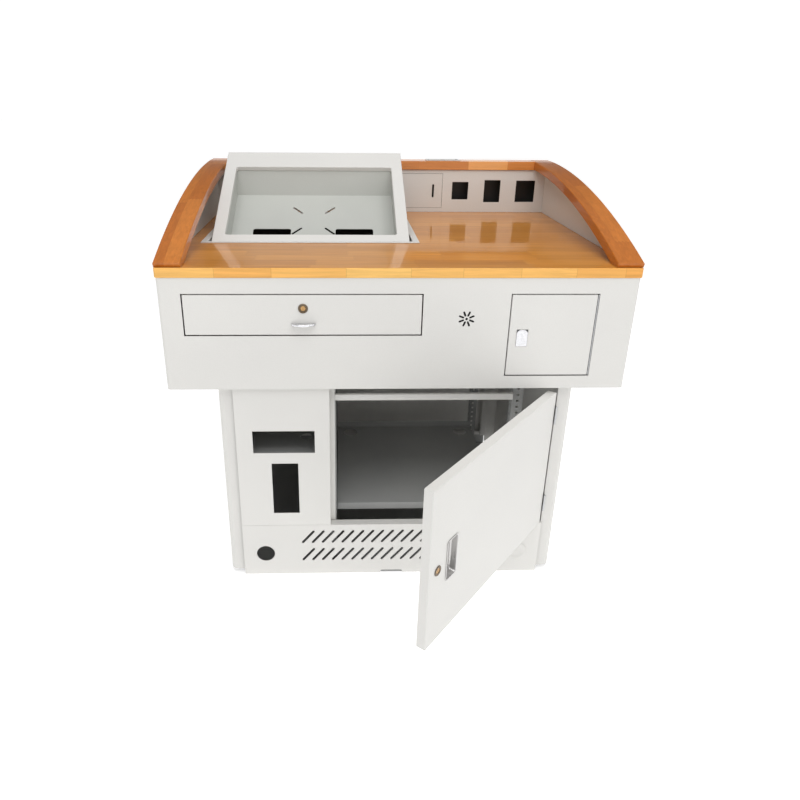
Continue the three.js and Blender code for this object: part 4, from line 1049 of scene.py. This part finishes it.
TOP_TONES = [(0.55, 0.215, 0.034), (0.63, 0.26, 0.043), (0.70, 0.30, 0.055)]
EDGE_TONES = [(0.76, 0.35, 0.08), (0.84, 0.45, 0.12), (0.88, 0.53, 0.155)]
board_top = jointed_wood("board_top", TOP_TONES, 0.22, "X", 0.3, 0.6, 0.12)
board_edge = jointed_wood("board_edge", EDGE_TONES, 0.13, "X", 0.35, 0.3, 0.3)

shape = cad_shape("worktop")
ease(shape, BOARD_EDGE, 3)
for face in shape.faces:
    face.material_index = 0 if face.normal.z > 0.85 else 1
make_piece("worktop_board", shape, [board_top, board_edge], "cabinet", "board", "worktop")

# ---- Arm rails -----------------------------------------------------------------------------------
# Each rail is laminated wood bent to a long arc, level at the back and running down into the worktop at
# the front, where its end is cut leaning back. It is stained orange-brown under a gloss varnish.

RAIL_TOP_RADIUS = 2.11
RAIL_BACK = 0.418
RAIL_EDGE = 0.0028
RAIL_THICKNESS = 0.025
RAIL_SWEEP = math.radians(22.2)
RAIL_END = -0.345
RAIL_END_DROP = 0.15  # where its end is cut, below its back end's top
RAIL_END_FACING = (0, -0.93, -0.36)

RAIL_TONES = [(0.46, 0.132, 0.015), (0.53, 0.162, 0.02), (0.60, 0.20, 0.03)]
rail_wood = jointed_wood("rail_wood", RAIL_TONES, 0.34, "Y", 0.28, 0.45, 0.1)
worktop_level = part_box("worktop")[1].z + 0.0003

for node, name in (("left_rail", "left_arm_rail"), ("right_rail", "right_arm_rail")):
    low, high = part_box(node)
    centre = Vector((0, RAIL_BACK, high.z - RAIL_TOP_RADIUS))
    shape = bmesh.new()
    under = high.z - RAIL_THICKNESS
    section = [(low.x, under), (high.x, under), (high.x, high.z), (low.x, high.z)]
    face = shape.faces.new([shape.verts.new((x, RAIL_BACK, z)) for x, z in section])
    bmesh.ops.bevel(
        shape, geom=shape.verts[:], offset=RAIL_EDGE, segments=4, profile=0.5, affect="VERTICES", material=-1,
    )
    bmesh.ops.spin(
        shape, geom=shape.verts[:] + shape.edges[:] + shape.faces[:], cent=centre, axis=(1, 0, 0),
        dvec=(0, 0, 0), angle=RAIL_SWEEP, steps=54, use_merge=False,
    )
    end_cut = ((0, RAIL_END, high.z - RAIL_END_DROP), RAIL_END_FACING)
    for spot, normal in (end_cut, ((0, 0, worktop_level), (0, 0, -1))):
        cut_plane(shape, spot, normal, True)
        bmesh.ops.holes_fill(shape, edges=[e for e in shape.edges if e.is_boundary], sides=0)
    bmesh.ops.recalc_face_normals(shape, faces=shape.faces)
    ease(shape, 0.0008, 2, lambda edge: edge.calc_face_angle() > SQUARE)
    make_piece(name, shape, rail_wood, "cabinet", "rail_wood", node)

# ---- Back rail -----------------------------------------------------------------------------------
# A straight board of finger-jointed blocks joins the arm rails over the cable space. A painted plate on
# it, held by four screws, has the hole for a microphone's stem.

STEM_SCREW_INSET = 0.008
STEM_SCREW_RADIUS = 0.0024

BACK_TONES = [(0.62, 0.22, 0.05), (0.78, 0.33, 0.09), (0.88, 0.43, 0.14)]
back_wood = jointed_wood("back_rail_wood", BACK_TONES, 0.12, "X", 0.3, 0.6, 0.2)
shape = cad_shape("back_rail")
ease(shape, 0.0022, 3)
make_piece("rear_rail", shape, back_wood, "cabinet", "rail_wood", "back_rail")
dress("microphone_plate", "stem_plate", coat, "steel_paint")
low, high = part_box("microphone_plate")
rows = (low.y + STEM_SCREW_INSET, high.y - STEM_SCREW_INSET)
columns = (low.x + STEM_SCREW_INSET, high.x - STEM_SCREW_INSET)
for i, (x, y) in enumerate([(x, y) for y in rows for x in columns]):
    screw(f"stem_plate_screw_{i + 1}", Vector((x, y, high.z)), (0, 0, 1), "cabinet", STEM_SCREW_RADIUS)

# ---- Monitor well --------------------------------------------------------------------------------
# A folded trim lines the opening in the worktop: a flat flange on the board and a skirt down inside it.

dress("monitor_trim", "well_trim", coat, "steel_paint")

# ---- Monitor frame -------------------------------------------------------------------------------
# The bezel is a folded frame round the screen opening. Behind it hangs a pocket of the same steel with a
# sloping rear wall, four bolt slots that form an X, and two long slots for the monitor's leads. The pocket
# is painted a darker grey than the bezel: a painted shade for its recess.

MONITOR_OPEN = math.radians(28.1)
BEZEL_FOLD = 0.0016

tilt_hinge = Vector(joint("monitor_tilt")["pos_m"])
tilt = Matrix.Rotation(MONITOR_OPEN, 4, "X")
tilt = Matrix.Translation(tilt_hinge) @ tilt @ Matrix.Translation(-tilt_hinge)
# A darker copy of the bezel's powder coat: painted shade inside the pocket.
shaded_pocket_coat = powder_coat("shaded_pocket_paint", (0.54, 0.55, 0.515), (0.49, 0.50, 0.47))
for node, name, material, finish, radius in (
    ("monitor_bezel", "monitor_frame_front", coat, "steel_paint", BEZEL_FOLD),
    ("monitor_tray", "monitor_pocket", shaded_pocket_coat, "inner_paint", 0.0007),
):
    shape = cad_shape(node)
    carry(shape, tilt.inverted())
    top = max(v.co.z for v in shape.verts)
    ease(shape, radius, 3, lambda edge: min(v.co.z for v in edge.verts) > top - 0.0001)
    ease(shape, EDGE, 2, lambda edge: max(v.co.z for v in edge.verts) < top - 0.004)
    carry(shape, tilt)
    make_piece(name, shape, material, "monitor_frame", finish, node)

# ---- Monitor hinges ------------------------------------------------------------------------------
# Two short hinges under the bezel's front edge: a rolled knuckle on a bent leaf that is screwed to the
# well's skirt. They are stiff enough to hold the frame where it is left.

for side in ("left", "right"):
    node = f"monitor_hinge_{side}"
    low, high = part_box(node)
    shape = cad_shape(node)
    ease(shape, EDGE)
    make_piece(f"{side}_tilt_leaf", shape, zinc, "cabinet", "zinc", node)
    half = (high.x - low.x) / 2
    profile = [(0, -half - 0.0004), (0.0024, -half - 0.0004), (0.0032, -half + 0.0002)]
    for i in range(1, 3):
        level = -half + 2 * half * i / 3
        profile += [(0.0032, level - GROOVE), (0.0029, level), (0.0032, level + GROOVE)]
    profile += [(0.0032, half - 0.0002), (0.0024, half + 0.0004), (0, half + 0.0004)]
    middle = Vector(((low.x + high.x) / 2, tilt_hinge.y, tilt_hinge.z))
    make_piece(f"{side}_tilt_knuckle", turned(profile, middle, (1, 0, 0), 24), zinc, "cabinet", "zinc")
